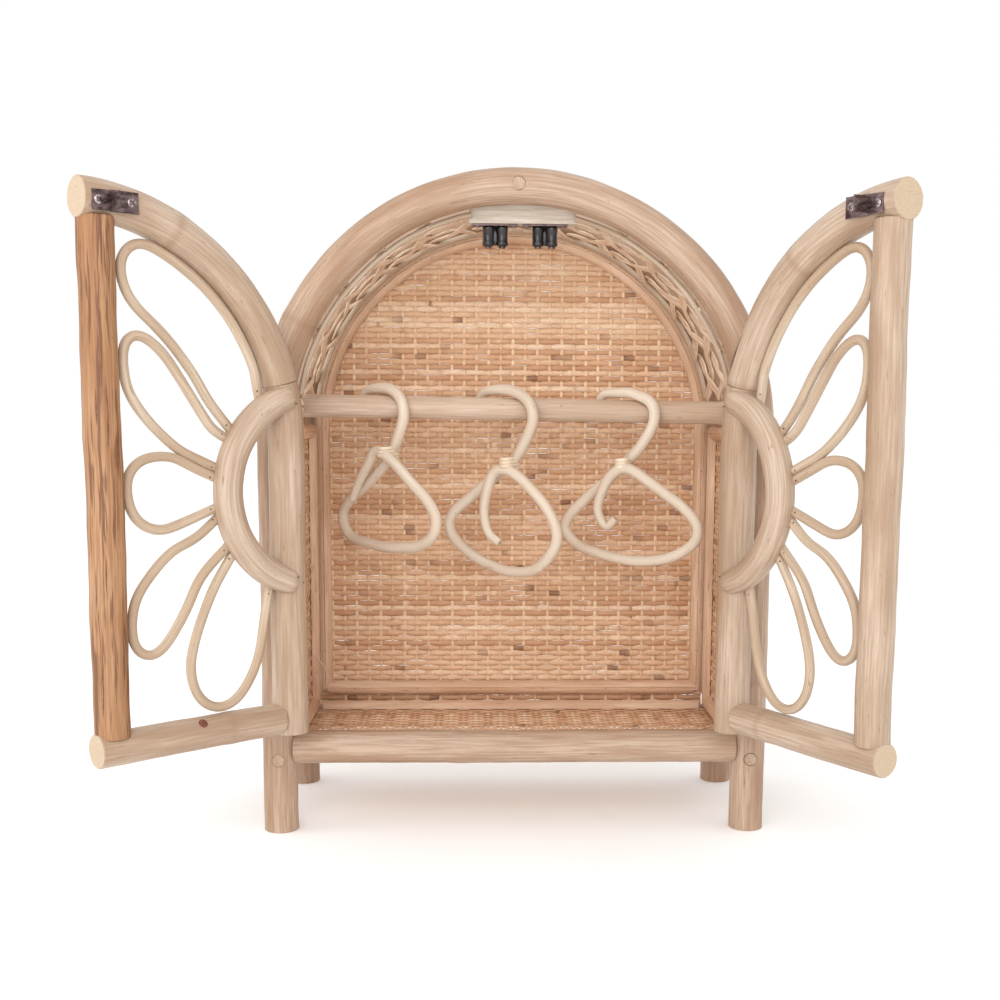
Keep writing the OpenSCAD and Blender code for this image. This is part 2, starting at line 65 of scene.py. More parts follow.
# %% Cabinet measurements
MM = 0.001
front_low, front_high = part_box("front_arch")
rear_low, rear_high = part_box("rear_arch")
middle = np.array([(front_low.x + front_high.x) / 2,
                   (front_low.y + front_high.y + rear_low.y + rear_high.y) / 4, 0])
pole_r = (front_high.y - front_low.y) / 2 / MM
leg_x = (front_high.x - front_low.x) / 2 / MM - pole_r
spring_z = front_high.z / MM - pole_r - leg_x
front_y = ((front_low.y + front_high.y) / 2 - middle[1]) / MM
rear_y = -front_y
rail_z = sum(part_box("rear_rail")[i].z for i in (0, 1)) / 2 / MM
floor_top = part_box("rear_rail")[1].z / MM
front_rail_z = sum(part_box("front_rail")[i].z for i in (0, 1)) / 2 / MM
front_rail_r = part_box("front_rail")[1].z / MM - front_rail_z
rail_r = floor_top - rail_z
weave_y = (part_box("back_panel")[0].y - middle[1]) / MM
side_x = leg_x - 10
HALF_PANEL = 1.25
joints = {j["name"]: j for j in frame["joints"]}
print(f"poles {2 * pole_r:.1f} mm thick, legs {2 * leg_x:.0f} mm apart, arch springs at {spring_z:.0f} mm")


def place(points):
    """Millimetres from the cabinet's middle become metres in the frame."""
    return np.asarray(points, float) * MM + middle


# %% [markdown]
# A door is easiest to draw shut and then swing open. Its own frame has x running from the hinge stile
# to the free edge and +y on its inner face. The hinge line and the angle at which the door stands come
# from the frame's joints; the right door is the left one mirrored.

# %% Doors drawn shut, swung open
STILE_X = 158.0
hinge = (np.array(joints["left_door_hinge"]["pos_m"]) - middle) / MM
hinge_x, hinge_y = -hinge[0], hinge[1]
opened = {side: -joints[f"{side}_door_hinge"]["range_deg"][0] for side in ("left", "right")}


def swing(side, points):
    """Points on a shut door, moved to where the open door has them."""
    p = np.array(points, float)
    x, y = p[:, 0] - STILE_X + hinge_x, p[:, 1] + front_y - hinge_y
    a = -math.radians(opened[side])
    out = np.column_stack([x * math.cos(a) - y * math.sin(a) - hinge_x,
                           x * math.sin(a) + y * math.cos(a) + hinge_y, p[:, 2]])
    if side == "right":
        out[:, 0] *= -1
    return out


def swing_direction(side, direction):
    """A direction on a shut door, turned with it."""
    return (swing(side, [direction]) - swing(side, [(0, 0, 0)]))[0]


print("doors stand open by", opened)

# %% [markdown]
# ## Camera and light
#
# The wardrobe is seen from the front, a little to the left and a little above the middle, through a
# normal lens, so its floor shows and its rails run almost level. A white studio needs very little: an
# even white world, one large soft light in front and a little above, and a weaker one to the left, so
# the round poles keep a bright edge and the inside of the cabinet falls off gently.

# %% Camera
CAMERA_AT = (-27.43, front_y - 1031.68, 332.83)
YAW, PITCH, ROLL = (math.radians(v) for v in (1.99, 7.51, 0.35))
ahead = Vector((math.sin(YAW) * math.cos(PITCH), math.cos(YAW) * math.cos(PITCH), -math.sin(PITCH)))
level = Vector((math.cos(YAW), -math.sin(YAW), 0))
upright = level.cross(ahead)
right = level * math.cos(ROLL) + upright * math.sin(ROLL)
up = upright * math.cos(ROLL) - level * math.sin(ROLL)
lens = bpy.data.cameras.new("view")
lens.lens, lens.sensor_width = 47.78, 36
lens.shift_x, lens.shift_y = -0.0269, 0.0846
camera = bpy.data.objects.new("view", lens)
bpy.context.scene.collection.objects.link(camera)
camera.location = place(CAMERA_AT)
turn = np.array([right, up, -ahead]).T
camera.rotation_mode = "QUATERNION"
camera.rotation_quaternion = Matrix(turn.tolist()).to_quaternion()
bpy.context.scene.camera = camera

# %% Studio
world = bpy.data.worlds.new("studio")
bpy.context.scene.world = world
world.use_nodes = True
world.node_tree.nodes["Background"].inputs["Color"].default_value = (1, 1, 1, 1)
world.node_tree.nodes["Background"].inputs["Strength"].default_value = 1.0
bpy.context.scene.view_settings.view_transform = "Standard"


def soft_light(name, at, aim, size, power):
    data = bpy.data.lights.new(name, "AREA")
    data.size, data.energy = size, power
    lamp = bpy.data.objects.new(name, data)
    bpy.context.scene.collection.objects.link(lamp)
    lamp.location = place(at)
    lamp.rotation_euler = (Vector(place(aim)) - lamp.location).to_track_quat("-Z", "Y").to_euler()


soft_light("key", (-350, -1650, 950), (0, 0, 250), 1.2, 15)
soft_light("side", (-1500, -300, 700), (0, 0, 250), 1.0, 3)
print("camera and lights are in place")

# %% [markdown]
# ## Finishes
#
# Cane has fine grain that runs along the pole and turns with every bend. A pattern made from plain
# object coordinates would cut straight through a bend, so each swept piece carries an attribute named
# *grain*: how far along the pole a point is, and where it lies round it. The finishes stretch their
# noise along the first number, so the grain follows the arch. A second attribute, *cut*, is 1 on sawn
# ends, and *ring* is 1 at the scars where leaves grew.

# %% Node helpers
def new_material(name):
    material = bpy.data.materials.new(name)
    material.use_nodes = True
    return material, material.node_tree, material.node_tree.nodes["Principled BSDF"]


def fill(tree, node, inputs):
    """Gives sockets, by name or number, a value or a link from another socket."""
    for key, value in inputs.items():
        if isinstance(value, bpy.types.NodeSocket):
            tree.links.new(value, node.inputs[key])
        else:
            node.inputs[key].default_value = value
    return node


def add(tree, kind, inputs=None, **settings):
    """A new node with its settings and its inputs."""
    node = tree.nodes.new(kind)
    for key, value in settings.items():
        setattr(node, key, value)
    return fill(tree, node, inputs or {})


def maths(tree, operation, *values, kind="ShaderNodeMath"):
    node = add(tree, kind, dict(enumerate(values)), operation=operation)
    return node.outputs["Value" if kind == "ShaderNodeMath" else "Vector"]


def attribute(tree, name, output="Vector"):
    return add(tree, "ShaderNodeAttribute", attribute_name=name).outputs[output]


def object_place(tree):
    return add(tree, "ShaderNodeTexCoord").outputs["Object"]


def stretched_noise(tree, vector, scale, detail=4.0, rough=0.55):
    """Noise on a vector whose three axes are first scaled, per metre."""
    mapping = add(tree, "ShaderNodeMapping", {"Vector": vector, "Scale": scale})
    return add(tree, "ShaderNodeTexNoise", {"Vector": mapping.outputs[0], "Scale": 1.0, "Detail": detail,
                                            "Roughness": rough}).outputs["Fac"]


def ramp(tree, value, stops):
    node = add(tree, "ShaderNodeValToRGB", {"Fac": value})
    elements = node.color_ramp.elements
    while len(elements) < len(stops):
        elements.new(0.5)
    for element, (where, colour) in zip(elements, stops):
        element.position = where
        element.color = (*colour, 1)
    return node.outputs["Color"]


def grey(a, b, low=0.0, high=1.0):
    """Two ramp stops that turn a noise value into a mask."""
    return [(a, (low,) * 3), (b, (high,) * 3)]


def mix(tree, factor, a, b, blend="MIX"):
    a, b = ((*value, 1) if isinstance(value, tuple) else value for value in (a, b))
    node = add(tree, "ShaderNodeMix", {0: factor, 6: a, 7: b}, data_type="RGBA", blend_type=blend)
    return node.outputs[2]


def bump(tree, shader, height, distance, strength):
    node = add(tree, "ShaderNodeBump", {"Distance": distance, "Strength": strength, "Height": height})
    fill(tree, shader, {"Normal": node.outputs[0]})


# %% [markdown]
# One recipe covers every piece of round cane. Broad noise wanders between the pink heart and the paler
# skin, fine noise lays the fibres over it, and a mask of long dashes keeps some bark. What differs from
# piece to piece is only how strong each of them is.

# %% Cane finish
def cane_finish(name, pale, warm, fibre, dashes=None, dash_at=(0.6, 0.66), roughness=0.5,
                fibre_strength=0.6, spread=(9, 45, 45), dash_size=(46, 420, 420)):
    material, tree, shader = new_material(name)
    grain = attribute(tree, "grain")
    patches = stretched_noise(tree, grain, spread, 3)
    colour = ramp(tree, patches, [(0.38, warm), (0.50, tuple((p + w) / 2 for p, w in zip(pale, warm))),
                                  (0.61, pale)])
    fibres = stretched_noise(tree, grain, (22, 640, 640), 5, 0.6)
    lines = ramp(tree, fibres, grey(0.42, 0.62))
    colour = mix(tree, ramp(tree, fibres, grey(0.40, 0.60, fibre_strength, 0.0)), colour, fibre)
    if dashes:
        marks = stretched_noise(tree, grain, dash_size, 3, 0.7)
        colour = mix(tree, ramp(tree, marks, grey(*dash_at, 0.0, 0.85)), colour, dashes)
    specks = stretched_noise(tree, grain, (170, 330, 330), 2)
    colour = mix(tree, ramp(tree, specks, grey(0.71, 0.75, 0.0, 0.6)), colour, (0.30, 0.15, 0.07))
    colour = mix(tree, attribute(tree, "ring", "Fac"), colour, (0.30, 0.17, 0.09))
    pores = stretched_noise(tree, grain, (500, 1500, 1500), 2)
    sawn = ramp(tree, pores, [(0.34, (0.44, 0.31, 0.20)), (0.48, (0.58, 0.44, 0.30))])
    colour = mix(tree, attribute(tree, "cut", "Fac"), colour, sawn)
    rough = ramp(tree, fibres, grey(0.35, 0.65, roughness + 0.12, roughness - 0.08))
    fill(tree, shader, {"Base Color": colour, "Roughness": rough, "Specular IOR Level": 0.45,
                        "Coat Weight": 0.12, "Coat Roughness": 0.35})
    bump(tree, shader, lines, 0.00025, 0.55)
    return material


POLE = cane_finish("bent_pole", (0.54, 0.39, 0.285), (0.39, 0.235, 0.145), (0.31, 0.18, 0.105),
                   (0.26, 0.14, 0.08), (0.64, 0.72))
DOOR_POLE = cane_finish("door_pole", (0.57, 0.435, 0.325), (0.41, 0.275, 0.18), (0.33, 0.21, 0.135),
                        (0.29, 0.17, 0.10), (0.64, 0.72))
RAIL = cane_finish("hanging_rail_pole", (0.68, 0.54, 0.42), (0.54, 0.38, 0.27), (0.43, 0.29, 0.19),
                   (0.38, 0.23, 0.14), (0.66, 0.74))
BARK = cane_finish("bark_pole", (0.47, 0.26, 0.13), (0.36, 0.17, 0.07), (0.27, 0.115, 0.046),
                   (0.15, 0.055, 0.022), (0.53, 0.61), 0.6, 0.6, (7, 60, 60), (14, 300, 300))
PETAL = cane_finish("petal_cane", (0.60, 0.48, 0.355), (0.47, 0.335, 0.225), (0.39, 0.26, 0.165),
                    (0.34, 0.21, 0.125), (0.64, 0.72))
HANGER = cane_finish("hanger_cane", (0.75, 0.65, 0.535), (0.65, 0.52, 0.40), (0.55, 0.42, 0.30),
                     (0.48, 0.33, 0.22), (0.68, 0.76), 0.45, 0.35)
TRIM = cane_finish("half_round_trim", (0.84, 0.60, 0.43), (0.66, 0.42, 0.27), (0.52, 0.31, 0.18),
                   (0.40, 0.22, 0.12), (0.62, 0.70), 0.55, 0.5)
PEEL = cane_finish("peel", (0.90, 0.73, 0.57), (0.74, 0.53, 0.37), (0.58, 0.38, 0.24),
                   (0.42, 0.24, 0.13), (0.64, 0.72), 0.5, 0.45, (30, 90, 90))
BINDING = cane_finish("binding_peel", (0.84, 0.74, 0.59), (0.74, 0.59, 0.42), (0.62, 0.46, 0.30),
                      roughness=0.5, fibre_strength=0.4, spread=(60, 90, 90))
print("cane finishes:", ", ".join(m.name for m in (POLE, DOOR_POLE, RAIL, BARK, PETAL,
                                                   HANGER, TRIM, PEEL, BINDING)))

# %% [markdown]
# Woven strands are split from many different canes, so each keeps its own shade, and a few pieces are
# nearly black where the skin was scorched. The strands carry their row number in *grain*, so white
# noise on the row gives each strand its colour, and white noise on short lengths picks the dark ones.

# %% Woven finish
def woven_finish(name, colours, dark, dark_share):
    material, tree, shader = new_material(name)
    grain = attribute(tree, "grain")
    row_number = add(tree, "ShaderNodeSeparateXYZ", {0: grain}).outputs["Y"]
    own = add(tree, "ShaderNodeTexWhiteNoise", {"W": row_number}, noise_dimensions="1D")
    drift = stretched_noise(tree, grain, (14, 5, 1), 3)
    shade = maths(tree, "MULTIPLY_ADD", own.outputs["Value"], 0.45, maths(tree, "MULTIPLY", drift, 0.60))
    colour = ramp(tree, shade, list(zip((0.20, 0.42, 0.60, 0.78), colours)))
    cells = add(tree, "ShaderNodeVectorMath", {0: grain, 1: (0.0106, 1.0, 1.0)}, operation="SNAP")
    pick = add(tree, "ShaderNodeTexWhiteNoise", {"Vector": cells.outputs[0]}, noise_dimensions="3D")
    clusters = stretched_noise(tree, grain, (14, 0.35, 1), 2)
    near = ramp(tree, clusters, grey(0.50, 0.62))
    chosen = ramp(tree, pick.outputs["Value"], grey(1 - dark_share, 1 - dark_share + 0.01, 0, 0.8))
    colour = mix(tree, mix(tree, 1.0, chosen, near, "MULTIPLY"), colour, dark)
    fibres = stretched_noise(tree, object_place(tree), (260, 900, 900), 3)
    colour = mix(tree, ramp(tree, fibres, grey(0.40, 0.62, 0.30, 0.0)), colour, colours[0])
    fill(tree, shader, {"Base Color": colour, "Roughness": ramp(tree, fibres, grey(0.3, 0.7, 0.62, 0.44)),
                        "Specular IOR Level": 0.4})
    bump(tree, shader, fibres, 0.0002, 0.4)
    return material


WEAVE = woven_finish("woven_cane", [(0.47, 0.235, 0.12), (0.66, 0.39, 0.225), (0.80, 0.53, 0.34),
                                    (0.92, 0.70, 0.50)], (0.13, 0.045, 0.02), 0.10)
STAKE = woven_finish("woven_stakes", [(0.66, 0.43, 0.25), (0.76, 0.54, 0.34), (0.84, 0.63, 0.42),
                                      (0.90, 0.71, 0.50)], (0.32, 0.15, 0.07), 0.05)

# %% [markdown]
# Steel and plastic are simple by comparison: the bronzed steel is dark with worn, cloudy reflections,
# the screws are a little brighter, and the rollers are black plastic with faint moulding marks. The
# catch block is plain sawn wood with straight grain along its length.

# %% Steel, plastic and sawn wood
def hard_finish(name, dark, light, metallic, low, high, scale, relief):
    material, tree, shader = new_material(name)
    cloud = stretched_noise(tree, object_place(tree), scale, 4, 0.65)
    fill(tree, shader, {"Base Color": ramp(tree, cloud, [(0.38, dark), (0.64, light)]),
                        "Roughness": ramp(tree, cloud, grey(0.35, 0.68, low, high)), "Metallic": metallic})
    bump(tree, shader, cloud, relief, 0.4)
    return material


STEEL = hard_finish("dark_metal", (0.07, 0.045, 0.045), (0.24, 0.17, 0.165), 0.85, 0.25, 0.5,
                    (160, 160, 420), 0.0001)
SCREW = hard_finish("screw_steel", (0.22, 0.17, 0.18), (0.50, 0.42, 0.42), 0.9, 0.22, 0.42,
                    (500, 500, 500), 0.00005)
BLACK = hard_finish("dark_plastic", (0.012, 0.010, 0.010), (0.04, 0.033, 0.032), 0.0, 0.16, 0.34,
                    (240, 240, 60), 0.0001)
NAIL = hard_finish("nail_steel", (0.06, 0.03, 0.015), (0.17, 0.09, 0.05), 0.5, 0.4, 0.6,
                   (500, 500, 500), 0.00005)
SAWN = hard_finish("pale_wood", (0.50, 0.41, 0.32), (0.68, 0.61, 0.53), 0.0, 0.55, 0.72,
                   (30, 700, 700), 0.0003)
SHADOW_GAP = hard_finish("dark_joint", (0.10, 0.05, 0.03), (0.22, 0.12, 0.07), 0.0, 0.8, 0.95,
                         (300, 300, 300), 0.0001)
KNOT = hard_finish("knot", (0.10, 0.025, 0.012), (0.24, 0.08, 0.04), 0.0, 0.5, 0.7,
                   (600, 600, 600), 0.0001)
print("materials so far:", len(bpy.data.materials))

# %% [markdown]
# ## Bending a cane
#
# A real pole is steamed and bent, so it is one line with a round section carried along it. Blender's
# curve bevel would do that, but it can't vary the thickness, carry the *grain* numbers or chamfer the
# sawn ends in one go. A short sweep in code can: it walks along the line, keeps the section from
# twisting, and adds the slight unevenness, leaf rings and saw-cut ends that cane has.

# %% Paths
def smooth_path(points, step):
    """A smooth line through the points, with a point about every step millimetres."""
    p = np.array(points, float)
    p = np.vstack([2 * p[0] - p[1], p, 2 * p[-1] - p[-2]])
    out = []
    for a, b, c, d in zip(p[:-3], p[1:-2], p[2:-1], p[3:]):
        for t in np.linspace(0, 1, 12, endpoint=False):
            out.append(0.5 * (2 * b + (c - a) * t + (2 * a - 5 * b + 4 * c - d) * t * t
                              + (3 * b - a - 3 * c + d) * t ** 3))
    return even(np.array(out + [p[-2]]), step)


def lengths_along(path):
    return np.r_[0, np.cumsum(np.linalg.norm(np.diff(path, axis=0), axis=1))]


def even(path, step):
    """The same line with evenly spaced points."""
    path = np.array(path, float)
    lengths = lengths_along(path)
    count = max(2, int(round(lengths[-1] / step)) + 1)
    at = np.linspace(0, lengths[-1], count)
    return np.column_stack([np.interp(at, lengths, path[:, i]) for i in range(3)])


def relaxed(path, rounds):
    """The line with its small wobbles eased out and its ends kept."""
    path = np.array(path, float)
    for _ in range(rounds):
        path[1:-1] = (path[:-2] + 2 * path[1:-1] + path[2:]) / 4
    return path


def arc(cx, y, cz, r, start, end, count=90):
    angles = np.radians(np.linspace(start, end, count))
    return np.column_stack([cx + r * np.cos(angles), np.full(count, float(y)), cz + r * np.sin(angles)])


def unit(v):
    return v / np.maximum(np.linalg.norm(v, axis=-1, keepdims=True), 1e-12)


def wander(length, seed, size):
    """Slow random wandering along a pole: a few sines with seeded phases."""
    rng = np.random.default_rng(seed)
    total = np.zeros_like(length)
    for wave in (260, 130, 61, 29):
        total += wave ** 0.5 / 16 * np.sin(2 * np.pi * length / wave + rng.uniform(0, 6.3))
    return size * total / 2


# %% The sweep
def between(rows, sides, first=0, closed=False):
    """Faces that join each ring of points to the next."""
    return [(first + i * sides + k, first + i * sides + (k + 1) % sides,
             first + (i + 1) % rows * sides + (k + 1) % sides, first + (i + 1) % rows * sides + k)
            for i in range(rows if closed else rows - 1) for k in range(sides)]


def backwards(faces):
    return [face[::-1] for face in faces]


def fan(first, sides, tip):
    """Triangles from a ring of points to one point."""
    return [(first + k, first + (k + 1) % sides, tip) for k in range(sides)]


def sweep(path, radius, sides=22, step=5.0, seed=1, uneven=0.012, crooked=0.3, rings=(), chamfer=0.7,
          taper=None):
    """A round cane along path: its points, its faces, and its grain, cut and ring numbers."""
    path = even(path, step)
    count = len(path)
    along = unit(np.gradient(path, axis=0))
    normal = np.zeros_like(path)
    helper = (0, 1.0, 0) if abs(along[0][1]) < 0.9 else (1.0, 0, 0)
    normal[0] = unit(np.cross(along[0], helper))
    for i in range(1, count):
        normal[i] = unit(normal[i - 1] - np.dot(normal[i - 1], along[i]) * along[i])
    other = np.cross(along, normal)
    s = lengths_along(path)
    ends = np.minimum(1, np.minimum(s, s[-1] - s) / 12)
    path = path + normal * (ends * wander(s, seed, crooked))[:, None] \
        + other * (ends * wander(s, seed + 50, crooked))[:, None]
    r = radius * (1 + wander(s, seed + 90, uneven))
    scar = np.zeros(count)
    for ring in rings:
        away = s - ring * s[-1]
        r += radius * (0.035 * np.exp(-(away / 5) ** 2) - 0.02 * np.exp(-(away / 1.2) ** 2))
        scar = np.maximum(scar, 0.5 * np.exp(-(away / 1.6) ** 2))
    if taper is not None:
        r = r * np.interp(s / s[-1], *taper)
    turn = np.linspace(0, 2 * np.pi, sides, endpoint=False)
    cos, sin = np.cos(turn), np.sin(turn)
    offset = np.array([seed * 0.731, seed * 0.397, 0.0])
    points, grain, cut, ring_value = [], [], [], []

    def ring_of_points(i, centre, size, grain_r, cut_here, scar_here, many=sides):
        points.append((centre + size * (cos[:, None] * normal[i] + sin[:, None] * other[i]))[:many])
        rolled = np.column_stack([np.full(sides, s[i]), grain_r * cos, grain_r * sin])
        grain.append((offset + rolled * MM)[:many])
        cut.append(np.full(many, cut_here))
        ring_value.append(np.full(many, scar_here))

    ring_of_points(0, path[0], r[0] - chamfer, radius, 0.0, scar[0])
    for i in range(count):
        back = chamfer if i == 0 else -chamfer if i == count - 1 else 0
        ring_of_points(i, path[i] + along[i] * back, r[i], radius, 0.0, scar[i])
    ring_of_points(count - 1, path[-1], r[-1] - chamfer, radius, 0.0, scar[-1])
    faces = between(count + 2, sides)
    for i in (0, count - 1):
        first = sum(map(len, points))
        for share, many in ((1.0, sides), (0.55, sides), (0.0, 1)):
            size = (r[i] - chamfer) * share
            ring_of_points(i, path[i], size, size, 1.0, 0.0, many)
        cap = between(2, sides, first) + fan(first + sides, sides, first + 2 * sides)
        faces += cap if i else backwards(cap)
    return np.vstack(points), faces, {"grain": np.vstack(grain), "cut": np.concatenate(cut),
                                      "ring": np.concatenate(ring_value)}


def joined(parts):
    """Several swept shapes as one."""
    points, faces, numbers = [], [], {}
    base = 0
    for p, f, values in parts:
        points.append(p)
        faces += [tuple(i + base for i in face) for face in f]
        for key, value in values.items():
            numbers.setdefault(key, []).append(value)
        base += len(p)
    return np.vstack(points), faces, {k: np.concatenate(v) for k, v in numbers.items()}


# %% Making a piece
made = {}


def finish_piece(obj, body, nodes=()):
    """Gives a piece to its moving body and the CAD nodes that it stands for."""
    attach(obj, body)
    if nodes:
        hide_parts(*nodes)
    obj.data.calc_loop_triangles()
    made[obj.name] = len(obj.data.loop_triangles)
    return obj


def piece(name, shape, material, body, nodes=(), sharp=40):
    """A Blender object from points in millimetres, faces and per-point numbers."""
    points, faces, numbers = shape
    mesh = bpy.data.meshes.new(name)
    mesh.from_pydata(place(points).tolist(), [], faces)
    for key, value in numbers.items():
        if value.ndim == 2:
            mesh.attributes.new(key, "FLOAT_VECTOR", "POINT").data.foreach_set(
                "vector", value.astype(np.float32).ravel())
        else:
            mesh.attributes.new(key, "FLOAT", "POINT").data.foreach_set(
                "value", value.astype(np.float32))
    mesh.materials.append(material)
    mesh.polygons.foreach_set("use_smooth", [True] * len(mesh.polygons))
    mesh.set_sharp_from_angle(angle=math.radians(sharp))
    mesh.update()
    obj = bpy.data.objects.new(name, mesh)
    bpy.context.scene.collection.objects.link(obj)
    return finish_piece(obj, body, nodes)


# %% [markdown]
# ## The cabinet's frame
#
# Two arches, each bent from one pole, stand one behind the other. Thinner round rails tie them
# together under the floor, a bar on each side joins them at shoulder height, and the hanging rail runs
# between those bars. Rail ends are coped round the poles, so here they simply run a little way in.

# %% Arches
def arch_line(y):
    return np.vstack([[(-leg_x, y, 0)], [(-leg_x, y, spring_z - 5)], arc(0, y, spring_z, leg_x, 180, 0),
                      [(leg_x, y, spring_z - 5)], [(leg_x, y, 0)]])


piece("front_arch_pole", sweep(arch_line(front_y), pole_r, 28, 5, seed=3, rings=(0.07, 0.33, 0.9)),
      POLE, "cabinet", ["front_arch"])
piece("rear_arch_pole", sweep(arch_line(rear_y), pole_r, 28, 5, seed=8, rings=(0.11, 0.62)),
      POLE, "cabinet", ["rear_arch"])

# %% Rails and bars
INTO = 2.5
reach = leg_x - pole_r + INTO
for name, y, z, r, seed in (("front_rail", front_y, front_rail_z, front_rail_r, 11),
                            ("rear_rail", rear_y, rail_z, rail_r, 12)):
    piece(f"{name}_pole", sweep([(-reach, y, z), (reach, y, z)], r, 26, 6, seed=seed, rings=(0.37,)),
          POLE, "cabinet", [name])
deep = rear_y - pole_r + INTO
sides = [sweep([(x, -deep, rail_z), (x, deep, rail_z)], rail_r, 24, 6, seed=14 + (x > 0))
         for x in (-leg_x, leg_x)]
piece("side_rail_poles", joined(sides), POLE, "cabinet", ["side_rails"])

rail_low, rail_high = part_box("hanging_rail")
hang_y = ((rail_low.y + rail_high.y) / 2 - middle[1]) / MM
hang_r = (rail_high.y - rail_low.y) / 2 / MM
RAIL_TILT = math.tan(math.radians(0.7))
hang_z = (rail_low.z + rail_high.z) / 2 / MM
cross_x, cross_r = leg_x - 6, 9.0
bars = [sweep([(x, -deep, hang_z - x * RAIL_TILT), (x, deep, hang_z - x * RAIL_TILT)], cross_r, 22, 6,
              seed=17 + (x > 0)) for x in (-cross_x, cross_x)]
piece("cross_bar_poles", joined(bars), POLE, "cabinet", ["cross_bars"])
end = cross_x - cross_r + INTO
piece("hanging_rail_pole", sweep([(-end, hang_y, hang_z + end * RAIL_TILT),
                                  (end, hang_y, hang_z - end * RAIL_TILT)], hang_r, 24, 6, seed=21,
                                 uneven=0.006, crooked=0.1), RAIL, "cabinet",
      ["hanging_rail"])
print("frame pieces:", made)

# %% [markdown]
# Where a rail or the arch is pinned, a round wooden peg shows at the front as a disc with a fine dark
# line round it. The disc is turned like a little lid on a lathe, and the line follows the pole's curve.

# %% Pegs
def disc(centre, out, radius, height, crown=0.3, sides=28):
    """A low round lid standing on centre, facing out."""
    out = unit(np.array(out, float))
    a = unit(np.cross(out, [0.3, 0.1, 1.0]))
    b = np.cross(out, a)
    rows = [(radius, -1.5), (radius, height - 0.3), (radius - 0.3, height), (radius * 0.5, height + crown)]
    turn = np.linspace(0, 2 * np.pi, sides, endpoint=False)
    rings = [(size * math.cos(t), size * math.sin(t), rise) for size, rise in rows for t in turn]
    points = [np.array(centre) + u * a + v * b + rise * out for u, v, rise in rings]
    grain = [(rise, u, v) for u, v, rise in rings]
    points.append(np.array(centre) + (height + crown) * out)
    grain.append((0, 0, 0))
    faces = between(4, sides) + fan(3 * sides, sides, 4 * sides) + [tuple(range(sides))[::-1]]
    return np.array(points), faces, {"grain": np.array(grain) * MM, "cut": np.full(len(points), 0.3),
                                     "ring": np.zeros(len(points))}


pegs = [(-leg_x, front_y, rail_z, "z"), (leg_x, front_y, rail_z, "z"),
        (0, front_y, spring_z + leg_x, "x")]
peg_discs = [disc((x, y - pole_r - 0.35, z), (0, -1, 0), 4.8, 0.2) for x, y, z, _ in pegs]
piece("dowel_peg_ends", joined(peg_discs),
      POLE, "cabinet", ["dowel_pegs"])
lines = []
for x, y, z, axis in pegs:
    t = np.linspace(0, 2 * np.pi, 40)
    dx, dz = 5.1 * np.cos(t), 5.1 * np.sin(t)
    across = dx if axis == "z" else dz
    loop = np.column_stack([x + dx, y - np.sqrt(pole_r ** 2 - across ** 2) - 0.12, z + dz])
    lines.append(sweep(loop, 0.28, 6, 1.0, uneven=0, crooked=0, chamfer=0.05))
piece("dowel_peg_lines", joined(lines), SHADOW_GAP, "cabinet")

# %% [markdown]
# ## Half round trim
#
# Strips of split cane with a groove down the middle hide the edges of the woven panels. A strip is
# swept too, but its section is flat underneath and must not turn, so this sweep is given the direction
# that faces away from the panel. Corners are mitred by sliding each point of the end section along
# the strip as far as it lies to one side.

# %% Trim sweep
def trim_section(width, height, groove=0.9):
    half = width / 2
    top = [(half * math.cos(math.radians(a)), height * math.sin(math.radians(a)))
           for a in (0, 16, 34, 52, 68, 80)]
    middle_groove = [(0.8, height * 0.99), (0.0, height - groove)]
    right_side = [(u, v) for u, v in top] + middle_groove
    return right_side + [(-u, v) for u, v in right_side[-2::-1]]


def strip(path, out, section, mitre=(0, 0), step=6, seed=1):
    """A strip with one flat side along path; out points away from the panel."""
    path = even(path, step)
    out = np.array(out, float)
    along = unit(np.gradient(path, axis=0))
    across = np.cross(along, out)
    s = lengths_along(path)
    count, n = len(path), len(section)
    points, grain = [], []
    for i in range(count):
        lean = mitre[0] if i == 0 else -mitre[1] if i == count - 1 else 0
        wave = 1 + wander(s[i:i + 1], seed, 0.02)[0]
        for u, v in section:
            points.append(path[i] + across[i] * u * wave + out * v * wave + along[i] * lean * u)
            grain.append(np.array([s[i], u, v]) * MM + np.array([seed * 0.61, seed * 0.23, 0]))
    faces = backwards(between(count, n))
    faces += [tuple(range(n)), tuple((count - 1) * n + k for k in range(n))[::-1]]
    zeros = np.zeros(len(points))
    shape = (np.array(points), faces, {"grain": np.array(grain), "cut": zeros, "ring": zeros})
    return outward(shape)


def outward(shape):
    """Turns a closed shape's faces outwards, by the sign of its volume."""
    points, faces, numbers = shape
    volume = 0.0
    for face in faces:
        a = points[face[0]]
        for i in range(1, len(face) - 1):
            volume += np.dot(a, np.cross(points[face[i]], points[face[i + 1]]))
    return (points, faces, numbers) if volume > 0 else (points, [f[::-1] for f in faces], numbers)


# %% Trims
trim_w = 13.0
trim_arch = leg_x - pole_r - 0.5 - trim_w / 2 + 0.2
panel_r = leg_x - pole_r - 0.5
trim_low = (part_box("back_bottom_trim")[0].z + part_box("back_bottom_trim")[1].z) / 2 / MM
section = trim_section(trim_w - 0.4, 6.3)
back_line = np.vstack([[(-trim_arch, weave_y, trim_low)], [(-trim_arch, weave_y, spring_z - 4)],
                       arc(0, weave_y, spring_z, trim_arch, 180, 0),
                       [(trim_arch, weave_y, spring_z - 4)], [(trim_arch, weave_y, trim_low)]])
piece("back_arch_trim_strip", strip(back_line, (0, -1, 0), section, (1, 1), 5, 4), TRIM, "cabinet",
      ["back_arch_trim"])
foot = [(-trim_arch, weave_y, trim_low), (trim_arch, weave_y, trim_low)]
piece("back_bottom_trim_strip", strip(foot, (0, -1, 0), section, (1, 1), 6, 5), TRIM, "cabinet",
      ["back_bottom_trim"])
floor_trim_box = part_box("floor_trim")
